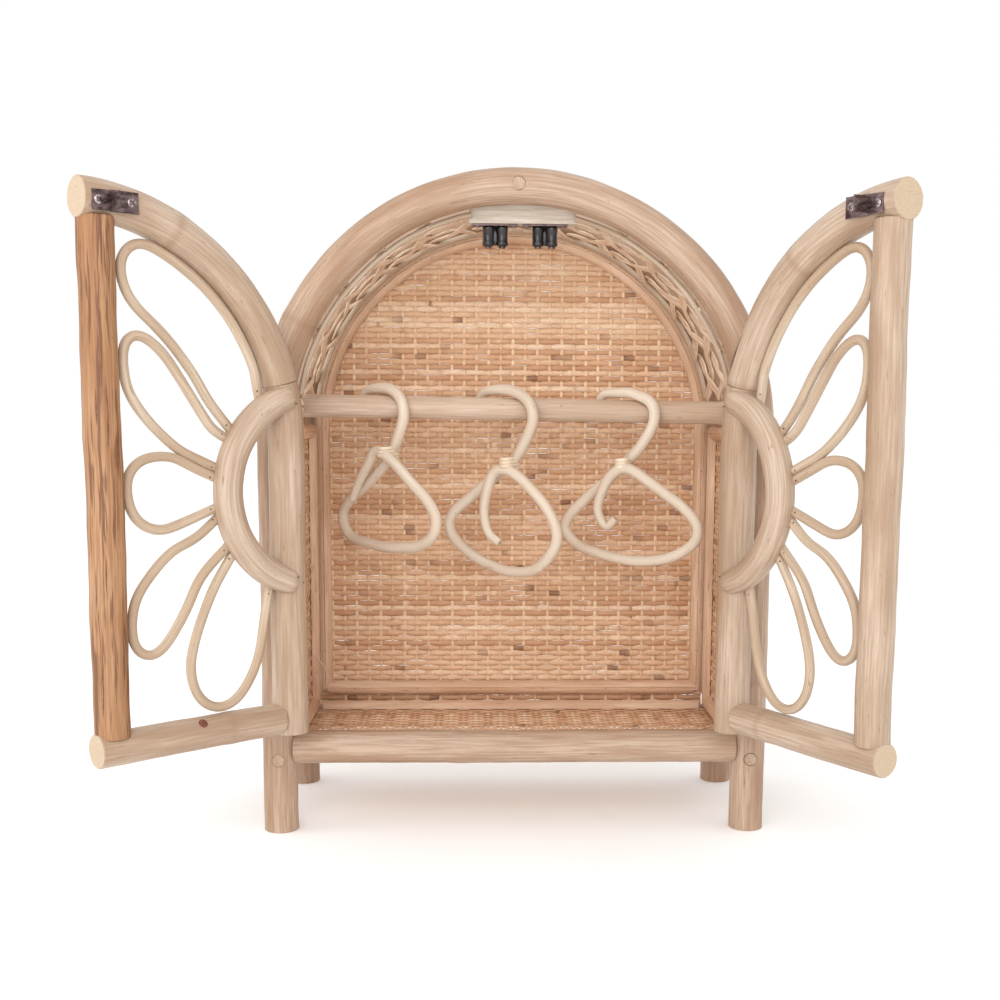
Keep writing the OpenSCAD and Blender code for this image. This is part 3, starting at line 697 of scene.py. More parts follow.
ft_y = ((floor_trim_box[0].y + floor_trim_box[1].y) / 2 - middle[1]) / MM
ft_x = (floor_trim_box[1].x - middle[0]) / MM
piece("floor_trim_strip", strip([(-ft_x, ft_y, floor_top), (ft_x, ft_y, floor_top)], (0, 0, 1),
                                trim_section(12.4, 6.2), step=6, seed=6), TRIM, "cabinet",
      ["floor_trim"])
for side, sign in (("left", -1), ("right", 1)):
    low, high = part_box(f"{side}_side_trim")
    y0, y1 = (low.y - middle[1]) / MM + trim_w / 2, (high.y - middle[1]) / MM - trim_w / 2
    z0, z1 = low.z / MM + trim_w / 2, high.z / MM - trim_w / 2
    x = sign * (side_x - 1.2)
    corners = [(x, y0, z0), (x, y1, z0), (x, y1, z1), (x, y0, z1)]
    strips = [strip([a, b], (-sign, 0, 0), trim_section(trim_w - 0.6, 6.1), (sign, sign), 6, 30 + i)
              for i, (a, b) in enumerate(zip(corners, corners[1:] + corners[:1]))]
    piece(f"{side}_side_trim_strips", joined(strips), TRIM, "cabinet",
          [f"{side}_side_trim"])
print("trim triangles:", {k: v for k, v in made.items() if "trim" in k})

# %% [markdown]
# ## Weaving
#
# Webbing is the same strand again and again, over one stake and under the next, so Geometry Nodes make
# it. The script only lays down guide lines, one edge chain per strand, each knowing its row, how far
# along it is and which way is out of the panel. One node tree then bends the lines in and out of the
# stakes, sweeps a flat section along them and gives them their numbers for colouring. The same tree
# weaves the panels, the roof, the wraps round the bars and the bindings of the hangers.

# %% Strand tree
def group_tree(name, inputs):
    tree = bpy.data.node_groups.new(name, "GeometryNodeTree")
    for label, kind, default in inputs:
        socket = tree.interface.new_socket(label, in_out="INPUT", socket_type=kind)
        if default is not None:
            socket.default_value = default
    tree.interface.new_socket("Geometry", in_out="OUTPUT", socket_type="NodeSocketGeometry")
    return tree, tree.nodes.new("NodeGroupInput"), tree.nodes.new("NodeGroupOutput")


def named(tree, name, kind):
    """A named attribute of the guide lines."""
    node = add(tree, "GeometryNodeInputNamedAttribute", {"Name": name}, data_type=kind)
    return node.outputs["Attribute"]


def end_tree(tree, geometry, material, result):
    """The last steps of every tree: make instances real and give them their material."""
    real = add(tree, "GeometryNodeRealizeInstances", {0: geometry})
    coloured = add(tree, "GeometryNodeSetMaterial", {"Geometry": real.outputs[0], "Material": material})
    fill(tree, result, {0: coloured.outputs[0]})
    print(tree.name, "tree has", len(tree.nodes), "nodes")


strand_tree, given, result = group_tree("woven_strands", [
    ("Guides", "NodeSocketGeometry", None), ("Width", "NodeSocketFloat", 0.004),
    ("Thickness", "NodeSocketFloat", 0.0007), ("Wave Height", "NodeSocketFloat", 0.0),
    ("Stake Pitch", "NodeSocketFloat", 0.01), ("Point Spacing", "NodeSocketFloat", 0.0035),
    ("Unevenness", "NodeSocketFloat", 0.0002), ("Seed", "NodeSocketInt", 1),
    ("Strand Material", "NodeSocketMaterial", None)])
t, asked = strand_tree, given.outputs
curve = add(t, "GeometryNodeMeshToCurve", {0: asked["Guides"]}).outputs[0]
spaced = add(t, "GeometryNodeResampleCurve", {"Curve": curve, "Length": asked["Point Spacing"]},
             mode="LENGTH")
out_way = named(t, "out", "FLOAT_VECTOR")
station = named(t, "station", "FLOAT")
row = named(t, "row", "FLOAT")
phase = maths(t, "ADD", maths(t, "DIVIDE", station, asked["Stake Pitch"]), row)
height = maths(t, "MULTIPLY", maths(t, "COSINE", maths(t, "MULTIPLY", phase, math.pi)),
               asked["Wave Height"])
lift = add(t, "ShaderNodeVectorMath", {0: out_way, "Scale": height}, operation="SCALE")
where = add(t, "ShaderNodeCombineXYZ", {0: maths(t, "MULTIPLY", station, 45.0),
                                        1: maths(t, "MULTIPLY", row, 3.7),
                                        2: maths(t, "MULTIPLY", asked["Seed"], 5.3)})
rough = add(t, "ShaderNodeTexNoise", {"Scale": 1.0, "Detail": 2.0, "Vector": where.outputs[0]})
centred = maths(t, "SUBTRACT", rough.outputs["Color"], (0.5, 0.5, 0.5), kind="ShaderNodeVectorMath")
stray = add(t, "ShaderNodeVectorMath", {0: centred, "Scale": asked["Unevenness"]}, operation="SCALE")
offset = maths(t, "ADD", lift.outputs[0], stray.outputs[0], kind="ShaderNodeVectorMath")
moved = add(t, "GeometryNodeSetPosition", {"Geometry": spaced.outputs[0], "Offset": offset})
facing = add(t, "GeometryNodeSetCurveNormal", {"Curve": moved.outputs[0], "Normal": out_way}, mode="FREE")
numbers = add(t, "ShaderNodeCombineXYZ", {0: station, 1: row})
store = add(t, "GeometryNodeStoreNamedAttribute", data_type="FLOAT_VECTOR", domain="POINT")
fill(t, store, {"Name": "grain", "Geometry": facing.outputs[0], "Value": numbers.outputs[0]})
circle = add(t, "GeometryNodeCurvePrimitiveCircle", {"Resolution": 6, "Radius": 0.5})
size = add(t, "ShaderNodeCombineXYZ", {0: asked["Thickness"], 1: asked["Width"], 2: 1.0})
flat = add(t, "GeometryNodeTransform", {"Geometry": circle.outputs[0], "Scale": size.outputs[0]})
thinning = maths(t, "ADD", maths(t, "MULTIPLY", rough.outputs["Fac"], 0.7), 0.68)
swept = add(t, "GeometryNodeCurveToMesh", {"Curve": store.outputs[0], "Profile Curve": flat.outputs[0],
                                           "Scale": thinning, "Fill Caps": True})
end_tree(t, swept.outputs[0], asked["Strand Material"], result)


# %% Running a tree
def guide_mesh(name, chains):
    """chains: (points in mm, out direction or one per point, row, station of each point in mm)."""
    points, edges, out, row_of, station_of = [], [], [], [], []
    for line, facing_way, number, stations in chains:
        base = len(points)
        line = np.asarray(line, float)
        points += list(line)
        edges += [(base + i, base + i + 1) for i in range(len(line) - 1)]
        ways = np.broadcast_to(np.asarray(facing_way, float), line.shape)
        out += list(ways)
        row_of += [number] * len(line)
        station_of += list(np.asarray(stations, float) * MM)
    mesh = bpy.data.meshes.new(name)
    mesh.from_pydata(place(points).tolist(), edges, [])
    mesh.attributes.new("out", "FLOAT_VECTOR", "POINT").data.foreach_set(
        "vector", np.array(out, np.float32).ravel())
    for key, values in (("row", row_of), ("station", station_of)):
        mesh.attributes.new(key, "FLOAT", "POINT").data.foreach_set("value", np.array(values, np.float32))
    return mesh


def grow(name, tree, mesh, **values):
    """Runs a node tree on a guide mesh and returns the result as a plain mesh object."""
    obj = bpy.data.objects.new(name + "_guide", mesh)
    bpy.context.scene.collection.objects.link(obj)
    modifier = obj.modifiers.new("grow", "NODES")
    modifier.node_group = tree
    sockets = {s.name: s.identifier for s in tree.interface.items_tree if s.in_out == "INPUT"}
    for label, value in values.items():
        modifier[sockets[label.replace("_", " ")]] = value
    grown = bpy.data.meshes.new_from_object(obj.evaluated_get(bpy.context.evaluated_depsgraph_get()))
    bpy.data.objects.remove(obj)
    grown.name = name
    grown.polygons.foreach_set("use_smooth", [True] * len(grown.polygons))
    plain = bpy.data.objects.new(name, grown)
    bpy.context.scene.collection.objects.link(plain)
    return plain


def fuse(name, objects):
    """Several mesh objects as one."""
    first = objects[0]
    with bpy.context.temp_override(active_object=first, selected_editable_objects=objects):
        bpy.ops.object.join()
    first.name = first.data.name = name
    return first


# %% [markdown]
# A panel needs two families of guides. Stakes run one way at an even pitch, straight and narrow, and
# flat strands cross them edge to edge. Where the panel is arched, each strand is as long as the arch
# is wide at its height. Stations are measured from the panel's middle so that the bends of
# neighbouring rows line up with the stakes.

# %% Panels
STAKE_PITCH, ROW_PITCH = 10.6, 4.5
WAVE = 0.72


def woven_panel(name, across, along, out, origin, stake_range, row_range, half_width, stake_top, seed):
    """across, along: unit vectors of strands and stakes. half_width(row height) bounds a strand."""
    across, along, out, origin = (np.array(v, float) for v in (across, along, out, origin))
    chains = []
    for n, v in enumerate(np.arange(row_range[0] + ROW_PITCH / 2, row_range[1] - 1.5, ROW_PITCH)):
        low, high = half_width(v)
        if high - low < 6:
            continue
        stations = np.arange(low, high + 0.01, 2.5)
        chains.append((origin + along * v + np.outer(stations, across), out, n, stations))
    strands = grow(name, strand_tree, guide_mesh(name, chains), Width=0.0051, Thickness=0.0010,
                   Wave_Height=WAVE * MM, Stake_Pitch=STAKE_PITCH * MM, Point_Spacing=0.0035,
                   Unevenness=0.0007, Seed=seed, Strand_Material=WEAVE)
    chains = []
    for n, u in enumerate(np.arange(math.ceil(stake_range[0] / STAKE_PITCH) * STAKE_PITCH,
                                    stake_range[1], STAKE_PITCH)):
        low, high = stake_top(u)
        stations = np.arange(low, high, 20.0)
        chains.append((origin + across * u + np.outer(stations, along), out, n * 7 + 3, stations))
    stakes = grow(name + "_s", strand_tree, guide_mesh(name + "_s", chains), Width=0.0030,
                  Thickness=0.0009, Wave_Height=0.0, Stake_Pitch=1.0, Point_Spacing=0.018,
                  Unevenness=0.0003, Seed=seed + 1, Strand_Material=STAKE)
    return fuse(name, [strands, stakes])


def arch_half(z):
    r = panel_r - 0.6
    return r if z <= spring_z else math.sqrt(max(0, r * r - (z - spring_z) ** 2))


back = woven_panel(
    "back_weave", (1, 0, 0), (0, 0, 1), (0, -1, 0), (0, weave_y + HALF_PANEL, 0), (-panel_r + 4, panel_r - 4),
    (floor_top + 0.6, spring_z + panel_r), lambda z: (-arch_half(z), arch_half(z)),
    lambda x: (floor_top + 0.8, spring_z + math.sqrt(max(1, (panel_r - 1) ** 2 - x * x))), 5)
finish_piece(back, "cabinet", ["back_panel"])
floor_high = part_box("floor_panel")[1]
fx = (floor_high.x - middle[0]) / MM
fy = (floor_high.y - middle[1]) / MM
floor_weave = woven_panel("floor_weave", (1, 0, 0), (0, 1, 0), (0, 0, 1), (0, 0, floor_top - HALF_PANEL),
                          (-fx + 3, fx - 3), (-fy, fy), lambda v: (-fx, fx), lambda u: (-fy, fy), 9)
finish_piece(floor_weave, "cabinet", ["floor_panel"])
for side, sign, seed in (("left", -1, 13), ("right", 1, 17)):
    low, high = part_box(f"{side}_side_panel")
    half = (high.y - low.y) / 2 / MM
    panel = woven_panel(f"{side}_side_weave", (0, 1, 0), (0, 0, 1), (-sign, 0, 0),
                        (sign * side_x, 0, 0), (-half + 3, half - 3), (low.z / MM, high.z / MM),
                        lambda z: (-half, half), lambda y: (low.z / MM + 0.5, high.z / MM - 0.5), seed)
    finish_piece(panel, "cabinet", [f"{side}_side_panel"])
print({k: v for k, v in made.items() if "weave" in k})

# %% [markdown]
# ## The open roof
#
# Over the arch the peel is crossed in a lattice: bundles of a few strips run from the front edge to
# the back and return, and where two families cross they leave pointed openings. Each bundle is drawn
# on the arch as a slanting line, a little pinched where it crosses the others, and the strips in
# it are allowed to stray, because this part is tied by hand.

# %% Lattice guides
band_r = leg_x - pole_r + 0.5
band_front, band_rear = front_y + 10.5, rear_y - 13.5
BAND_FROM, BAND_TO = 9.5, 170.5
STEP = 13.0
STRIP_SPACING, STRIP_POINTS = 4.2, 70
BLOCK_BOTTOM, BLOCK_X, BLOCK_HALF_WIDTH, BLOCK_DEPTH = 468, 4, 44, 34
WRAP_SPACING, WRAP_POINTS = 4.1, 22
rng = np.random.default_rng(77)
lattice = []
rows_deep = 2
for family in (1, -1):
    for k in range(-rows_deep, 12):
        for strip_no, side_step in enumerate((-1, 0, 1)):
            angles = BAND_FROM + (k + np.linspace(0, rows_deep, STRIP_POINTS)) * STEP
            angles = angles + rng.uniform(-0.8, 0.8)
            share = np.linspace(0, 1, STRIP_POINTS)
            pinch = 0.45 + 0.55 * np.abs(np.sin(np.pi * share * rows_deep * 2)) ** 0.8
            y = band_front + share * (band_rear - band_front) + side_step * STRIP_SPACING * pinch
            if family < 0:
                y = band_front + band_rear - y
            y = np.clip(y, band_front - 1.5, band_rear + 1.5)
            keep = (angles > BAND_FROM) & (angles < BAND_TO)
            if keep.sum() < 8:
                continue
            a = np.radians(angles[keep])
            lift_by = 1.5 * family * np.cos(np.pi * share * rows_deep * 2) - 0.9 - 0.25 * strip_no
            r = band_r + lift_by[keep] + rng.uniform(-0.3, 0.3)
            line = np.column_stack([r * np.cos(a), y[keep], spring_z + r * np.sin(a)])
            under_block = (line[:, 2] > BLOCK_BOTTOM) & (line[:, 1] < front_y + BLOCK_DEPTH) \
                & (np.abs(line[:, 0] - BLOCK_X) < BLOCK_HALF_WIDTH)
            line, a = line[~under_block], a[~under_block]
            if len(line) < 8:
                continue
            out = np.column_stack([-np.cos(a), np.zeros(len(a)), -np.sin(a)])
            lattice.append((line, out, len(lattice), np.arange(len(line)) * 2.9))
wraps = []
for sign in (-1, 1):
    for y in np.arange(-50, 53, WRAP_SPACING):
        turn = np.radians(np.linspace(0, 350, WRAP_POINTS))
        z = hang_z - sign * cross_x * RAIL_TILT
        slant = rng.uniform(-2.5, 2.5)
        if abs(y - hang_y) < hang_r + 3:
            continue
        line = np.column_stack([sign * cross_x + (cross_r + 0.7) * np.cos(turn),
                                y + slant * np.sin(turn), z + (cross_r + 0.7) * np.sin(turn)])
        out = np.column_stack([np.cos(turn), np.zeros(WRAP_POINTS), np.sin(turn)])
        wraps.append((line, out, 300 + len(wraps), np.arange(WRAP_POINTS) * 3.0))
roof = grow("roof_peel", strand_tree, guide_mesh("roof_peel", lattice), Width=0.0050, Thickness=0.0017,
            Point_Spacing=0.004, Unevenness=0.0024, Seed=3, Strand_Material=PEEL)
round_bars = grow("bar_wraps", strand_tree, guide_mesh("bar_wraps", wraps), Width=0.0042,
                  Thickness=0.0009, Point_Spacing=0.0035, Unevenness=0.0006, Seed=4,
                  Strand_Material=PEEL)
finish_piece(fuse("roof_lattice", [roof, round_bars]), "cabinet", ["roof_band"])
print("lattice strips:", len(lattice), "wraps:", len(wraps), "triangles:", made["roof_lattice"])

# %% [markdown]
# Thin canes along the lattice's two edges keep it flat against the arches. The front one stops at the
# catch block, so it is drawn in two lengths.

# %% Roof rims
rim_parts = []
for y, seed in ((band_front - 0.5, 41), (band_rear + 0.5, 44)):
    gaps = [(10, 75), (102, 170)] if y < 0 else [(10, 170)]
    for n, (a0, a1) in enumerate(gaps):
        rim_parts.append(sweep(arc(0, y, spring_z, band_r - 3.2, a0, a1, 120), 2.2, 10, 4, seed=seed + n,
                               uneven=0.03, crooked=0.4, chamfer=0.3))
piece("roof_rim_canes", joined(rim_parts), PETAL, "cabinet", ["roof_rims"])

# %% [markdown]
# ## The doors
#
# A door is a quarter arch on a hinge stile, with a straight free stile and a bottom rail. A thick
# crescent is nailed across the stile, and five petals of thin cane spring from it. The petals are
# drawn as outlines and smoothed, as the maker bends them by eye round pegs. The left free stile is an
# unsanded pole with its bark streaks left on.

# %% Door pieces
DOOR_R, DOOR_SPRING, DOOR_END = STILE_X - 0.3, spring_z - 4, STILE_X - 0.8
FREE_R, DOOR_RAIL_Z, DOOR_RAIL_R = 12.3, 100.0, 12.0
FREE_X = DOOR_END - FREE_R
SEAM_AT = 165
HUB = dict(x=-16.5, z=272.5, r=71.0, y=7.0, thick=10.5, half_angle=75)
PETAL_Y, PETAL_R, PETAL_ARCH_R = 1.0, 3.5, 140.2
PETAL_ENDS_R, PETAL_NAILS_R = 77.5, 84.5
outlines = [
    [[26, 350], *[[STILE_X + PETAL_ARCH_R * math.cos(math.radians(a)),
                   DOOR_SPRING + PETAL_ARCH_R * math.sin(math.radians(a))] for a in range(160, 109, -10)],
     [122, 439], [129, 428], [127, 413], [119, 400], [106, 389], [92, 375], [76, 355], [64, 336]],
    [[63, 318], [72, 331], [85, 350], [97, 367], [109, 378], [119, 382], [127, 377], [129, 366],
     [128, 351], [123, 338], [114, 326], [103, 315], [88, 303]],
    [[80, 292], [95, 299], [112, 299], [123, 294], [129, 285], [129, 271], [125, 259], [116, 251],
     [104, 248], [91, 251.5]],
    [[78, 241], [97, 233], [114, 217], [125, 202], [129, 186], [128, 171], [121, 162], [112, 161],
     [103, 168], [93, 181], [84, 196], [74, 214]],
    [[64, 205], [74, 185], [82, 164], [85, 147], [81, 130], [71, 119], [57, 116.5], [44, 124],
     [32, 141], [26, 160], [23, 178], [20, 192]]]


hub_angles = [(59, 34.6), (29.6, 12.8), (7.8, -7.6), (-12.6, -29.1), (-34.1, -64)]


def at_hub(angle, r):
    a = math.radians(angle)
    return [HUB["x"] + r * math.cos(a), HUB["z"] + r * math.sin(a)]


for side, seed in (("left", 100), ("right", 140)):
    body = f"{side}_door"
    pole = lambda name, path, r, material, node, slot="bent_pole", **more: piece(
        f"{side}_{name}", sweep(swing(side, path), r, **more), material, body, [f"{side}_{node}"])
    arch_path = np.vstack([arc(STILE_X, 0, DOOR_SPRING, DOOR_R, SEAM_AT, 90),
                           [(DOOR_END, 0, DOOR_SPRING + DOOR_R)]])
    pole("door_arch_pole", arch_path, pole_r, DOOR_POLE, "door_arch", sides=28, seed=seed,
         rings=(0.0, 0.52) if side == "right" else (0.66,), crooked=0.25, chamfer=0.5)
    stile_path = np.vstack([[(STILE_X - DOOR_R, 0, DOOR_RAIL_Z - 12)],
                            arc(STILE_X, 0, DOOR_SPRING, DOOR_R, 180, SEAM_AT + 0.15)])
    pole("hinge_stile_pole", stile_path, pole_r, DOOR_POLE, "hinge_stile", sides=28, seed=seed + 1,
         rings=(0.44,) if side == "right" else (), crooked=0.25, chamfer=0.5)
    top = DOOR_SPRING + math.sqrt(DOOR_R ** 2 - (FREE_X - STILE_X) ** 2) - pole_r + 3
    barked = side == "left"
    pole("free_stile_pole", [(FREE_X, 0, DOOR_RAIL_Z + DOOR_RAIL_R - 4), (FREE_X, 0, top)], FREE_R,
         BARK if barked else DOOR_POLE, "free_stile",
         "bark_pole" if barked else "bent_pole", sides=28, seed=seed + 2,
         uneven=0.03 if barked else 0.012, crooked=0.5)
    pole("bottom_rail_pole", [(pole_r - 3, 0, DOOR_RAIL_Z), (DOOR_END, 0, DOOR_RAIL_Z)], DOOR_RAIL_R,
         DOOR_POLE, "bottom_rail", sides=26, seed=seed + 3, rings=(0.30,) if side == "left" else (0.2,))
    crescent = arc(HUB["x"], HUB["y"], HUB["z"], HUB["r"], -HUB["half_angle"], HUB["half_angle"], 80)
    ends = np.abs(np.linspace(-1, 1, 80))
    crescent[:, 1] += 3.0 * np.clip((ends - 0.82) / 0.18, 0, 1)
    pole("hub_crescent", crescent, HUB["thick"], DOOR_POLE, "hub", sides=26, seed=seed + 4,
         taper=([0, 0.02, 0.12, 0.88, 0.98, 1], [0.78, 0.90, 1, 1, 0.90, 0.78]), chamfer=0.9)
    for n, (outline, (first, last)) in enumerate(zip(outlines, hub_angles), 1):
        line = [at_hub(first, PETAL_ENDS_R), *outline, at_hub(last, PETAL_ENDS_R)]
        path = relaxed(smooth_path([(x, PETAL_Y, z) for x, z in line], 2.0), 14)
        pole(f"petal_cane_{n}", path, PETAL_R, PETAL, f"petal_{n}", "petal_cane", sides=14, step=2.2,
             seed=seed + 10 + n, uneven=0.035, crooked=0.2, chamfer=0.3)
print("door triangles:", sum(v for k, v in made.items() if k.startswith(("left_", "right_"))))

# %% [markdown]
# ## Hangers
#
# Each hanger is one length of pale cane: a hook over the rail, a twist at the neck, round the
# triangle and back to the neck, where a few turns of peel bind it, with the spare end curled inside.
# It is drawn in its own plane and turned so that it hangs askew on the rail.

# %% Hanger lines
CANE_R = 4.5
BINDING_TURNS, BINDING_POINTS, BINDING_HALF = 3.2, 76, 4.4
hanger_turn = (45, 40, 35)
hanger_lines = [
    [[-27, 0, 6], [-22, 0, 13], [-10, 0, 15], [6, 0, 14.2], [19, 0, 6], [22, 0, -8], [14, 1, -24],
     [2, 4.8, -37], [-10, 4.8, -50], [-30, 3, -66], [-48, 0, -80], [-56, 0, -94], [-46, 0, -109],
     [-20, 0, -114], [10, 0, -115], [38, 0, -112], [56, 0, -102], [60, 0, -88], [50, 0, -74],
     [30, -2, -58], [12, -4.8, -43], [-4, -6.2, -36], [-14, -6.6, -47], [-25, -7.6, -62], [-34, -8, -77]],
    [[-28, 0, 4], [-24, 0, 12], [-12, 0, 15.4], [8, 0, 14.6], [24, 0, 6], [29, 0, -9], [19, 1, -28],
     [4, 4.8, -44], [-14, 4.8, -56], [-36, 3, -72], [-56, 0, -88], [-60, 0, -102], [-46, 0, -117],
     [-22, 0, -128], [6, 0, -134], [32, 0, -130], [50, 0, -114], [54, 0, -98], [44, 0, -80],
     [26, -2, -62], [8, -4.8, -50], [-6, -6.2, -52], [-14, -6.2, -68], [-17, -6.2, -86],
     [-12, -6.2, -102], [0, -6.2, -110]],
    [[-24, 0, 7], [-19, 0, 13.5], [-8, 0, 15], [8, 0, 14.6], [25, 0, 7], [28, 0, -8], [17, 1, -26],
     [0, 4.8, -42], [-14, 4.8, -54], [-34, 3, -71], [-50, 0, -87], [-55, 0, -100], [-42, 0, -113],
     [-16, 0, -120], [12, 0, -123], [42, 0, -119], [64, 0, -107], [69, 0, -92], [56, 0, -77],
     [32, -2, -61], [8, -4.8, -47], [-6, -6.2, -51], [-16, -6.2, -66], [-20, -6.2, -82], [-12, -6.2, -95],
     [-3, -6.2, -88]]]
necks = [(3, 0, -37), (5, 0, -44), (1, 0, -43)]
for n, (letter, line, neck, angle) in enumerate(zip("abc", hanger_lines, necks, hanger_turn), 1):
    pivot = (np.array(joints[f"hanger_{letter}_swing"]["pos_m"]) - middle) / MM
    a = -math.radians(angle)

    def hung(points):
        p = np.array(points, float)
        return np.column_stack([p[:, 0] * math.cos(a) - p[:, 1] * math.sin(a),
                                p[:, 0] * math.sin(a) + p[:, 1] * math.cos(a), p[:, 2]]) + pivot

    piece(f"hanger_cane_{n}", sweep(hung(smooth_path(line, 2.0)), CANE_R, 18, 2.4, seed=200 + n,
                                    uneven=0.03, crooked=0.3, chamfer=0.4,
                                    taper=([0, 0.05, 0.9, 1], [0.86, 1, 1, 0.72])),
          HANGER, f"hanger_{letter}", [f"hanger_{n}"])
    wrap = np.radians(np.linspace(0, 360 * BINDING_TURNS, BINDING_POINTS))
    ring = np.column_stack([(CANE_R + 1.1) * np.cos(wrap),
                            (CANE_R + 1.1) * np.sin(wrap) + 4.4 * np.tanh(3.5 * np.sin(wrap)),
                            np.linspace(-BINDING_HALF, BINDING_HALF, BINDING_POINTS)]) + np.array(neck)
    outward_way = np.column_stack([np.cos(wrap), np.sin(wrap), np.zeros(BINDING_POINTS)])
    turned = hung(outward_way) - hung([(0, 0, 0)])
    binding = grow(f"hanger_binding_wrap_{n}", strand_tree,
                   guide_mesh("binding", [(hung(ring), turned, 400 + n, np.arange(BINDING_POINTS) * 1.4)]),
                   Width=0.0031, Thickness=0.0009, Point_Spacing=0.0014, Unevenness=0.0005,
                   Seed=20 + n, Strand_Material=BINDING)
    finish_piece(binding, f"hanger_{letter}", [f"hanger_binding_{n}"])
print("hanger triangles:", {k: v for k, v in made.items() if k.startswith("hanger")})

# %% [markdown]
# ## Catches and strikes
#
# Two double roller catches hang under the sawn block, and each door's strike is a steel plate with a
# folded tongue that slips between two rollers. The rollers are turned shapes, so they are drawn as a
# profile and spun, with the rims and waist of the moulded plastic. The plates get a small bevel: it is
# the bright line along the edge that says steel.

# %% Rollers
def spun(profile, centre, sides=32):
    """A closed ring profile of (radius, height) spun round a vertical axis."""
    points = [(centre[0] + r * math.cos(t), centre[1] + r * math.sin(t), centre[2] + z)
              for r, z in profile for t in np.linspace(0, 2 * math.pi, sides, endpoint=False)]
    return outward((np.array(points), between(len(profile), sides, closed=True), {}))


for n in range(1, 5):
    low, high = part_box(f"roller_{n}")
    x, y = ((low.x + high.x) / 2 - middle[0]) / MM, ((low.y + high.y) / 2 - middle[1]) / MM
    r, z0, h = (high.x - low.x) / 2 / MM, low.z / MM, (high.z - low.z) / MM
    profile = [(1.55, 0), (r - 1.2, 0), (r - 0.3, 0.5), (r, 1.2), (r, 3.2), (r - 0.25, 3.6),
               (r - 0.3, h / 2), (r - 0.25, h - 3.6), (r, h - 3.2), (r, h - 1.2), (r - 0.3, h - 0.5),
               (r - 1.2, h), (1.55, h)]
    piece(f"roller_turned_{n}", spun(profile, (x, y, z0)), BLACK, f"catch_roller_{n}",
          [f"roller_{n}"], 50)

# %% Plates
def plate(low, high, bevel, side=None, bend=None):
    """A bevelled block between two corners, on a shut door when side is given."""
    shape = bmesh.new()
    bmesh.ops.create_cube(shape, size=1)
    low, high = np.array(low, float), np.array(high, float)
    for v in shape.verts:
        v.co = Vector((low + high) / 2 + np.array(v.co) * (high - low))
    bmesh.ops.bevel(shape, geom=shape.edges[:], offset=bevel, segments=2, affect="EDGES", profile=0.6)
    if bend:
        bmesh.ops.bisect_plane(shape, geom=shape.verts[:] + shape.edges[:] + shape.faces[:],
                               plane_co=(bend[0], 0, 0), plane_no=(1, 0, 0))
        for v in shape.verts:
            if v.co.x > bend[0]:
                v.co.y -= (v.co.x - bend[0]) * bend[1]
    shape.verts.ensure_lookup_table()
    points = np.array([v.co[:] for v in shape.verts])
    faces = [tuple(v.index for v in f.verts) for f in shape.faces]
    shape.free()
    if side:
        points = swing(side, points)
    return outward((points, faces, {}))


catch_x = {"left": -17.0, "right": 21.5}
roller_low, roller_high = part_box("roller_1")
back_of_roller = (roller_high.y - middle[1]) / MM + 1.6
carriers = [plate((x - 9.5, back_of_roller, roller_low.z / MM + 1.5),
                  (x + 9.5, back_of_roller + 1.4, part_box("catch_plates")[1].z / MM - 1.2), 0.2)
            for x in catch_x.values()]
piece("roller_carriers", joined(carriers), BLACK, "cabinet")
strike_z = (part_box("left_strike")[0].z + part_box("left_strike")[1].z) / 2 / MM
screw_points = []
for side in ("left", "right"):
    x = STILE_X - abs(catch_x[side])
    parts = [plate((x - 20, pole_r + 0.1, strike_z - 7), (x - 0.2, pole_r + 1.2, strike_z + 7), 0.25, side),
             plate((x + 0.2, pole_r + 0.1, strike_z - 6.6), (x + 12, pole_r + 1.2, strike_z + 6.6), 0.25,
                   side, (x + 4, 0.10)),
             plate((x - 0.6, pole_r + 0.7, strike_z - 5.4), (x + 0.5, pole_r + 14.0, strike_z + 5.4),
                   0.3, side)]
    piece(f"{side}_strike_plate", joined(parts), STEEL, f"{side}_door", [f"{side}_strike"])
    for dx in (-15, 8):
        screw_points.append((side, swing(side, [(x + dx, pole_r + 1.2, strike_z)])[0],
                             swing_direction(side, (0, 1, 0))))

# %% [markdown]
# Screws and nails repeat, so a second node tree puts a small head on every point it is given, turned
# to face out. The head is a low dome; the screw's has a cross pressed into it.

# %% Fixings tree
fix_tree, given, result = group_tree("fixings", [
    ("Places", "NodeSocketGeometry", None), ("Head", "NodeSocketObject", None),
    ("Size", "NodeSocketFloat", 1.0), ("Size Spread", "NodeSocketFloat", 0.1),
    ("Seed", "NodeSocketInt", 1), ("Head Material", "NodeSocketMaterial", None)])
t, asked = fix_tree, given.outputs
head = add(t, "GeometryNodeObjectInfo", {"Object": asked["Head"]})
aim = add(t, "FunctionNodeAlignRotationToVector", {"Vector": named(t, "out", "FLOAT_VECTOR")}, axis="Z")
spread = add(t, "FunctionNodeRandomValue", data_type="FLOAT")
fill(t, spread, {2: maths(t, "SUBTRACT", asked["Size"], asked["Size Spread"]),
                 3: maths(t, "ADD", asked["Size"], asked["Size Spread"]), "Seed": asked["Seed"]})
heads = add(t, "GeometryNodeInstanceOnPoints", {
    "Points": asked["Places"], "Instance": head.outputs["Geometry"], "Rotation": aim.outputs[0],
    "Scale": spread.outputs[1]})
end_tree(t, heads.outputs[0], asked["Head Material"], result)


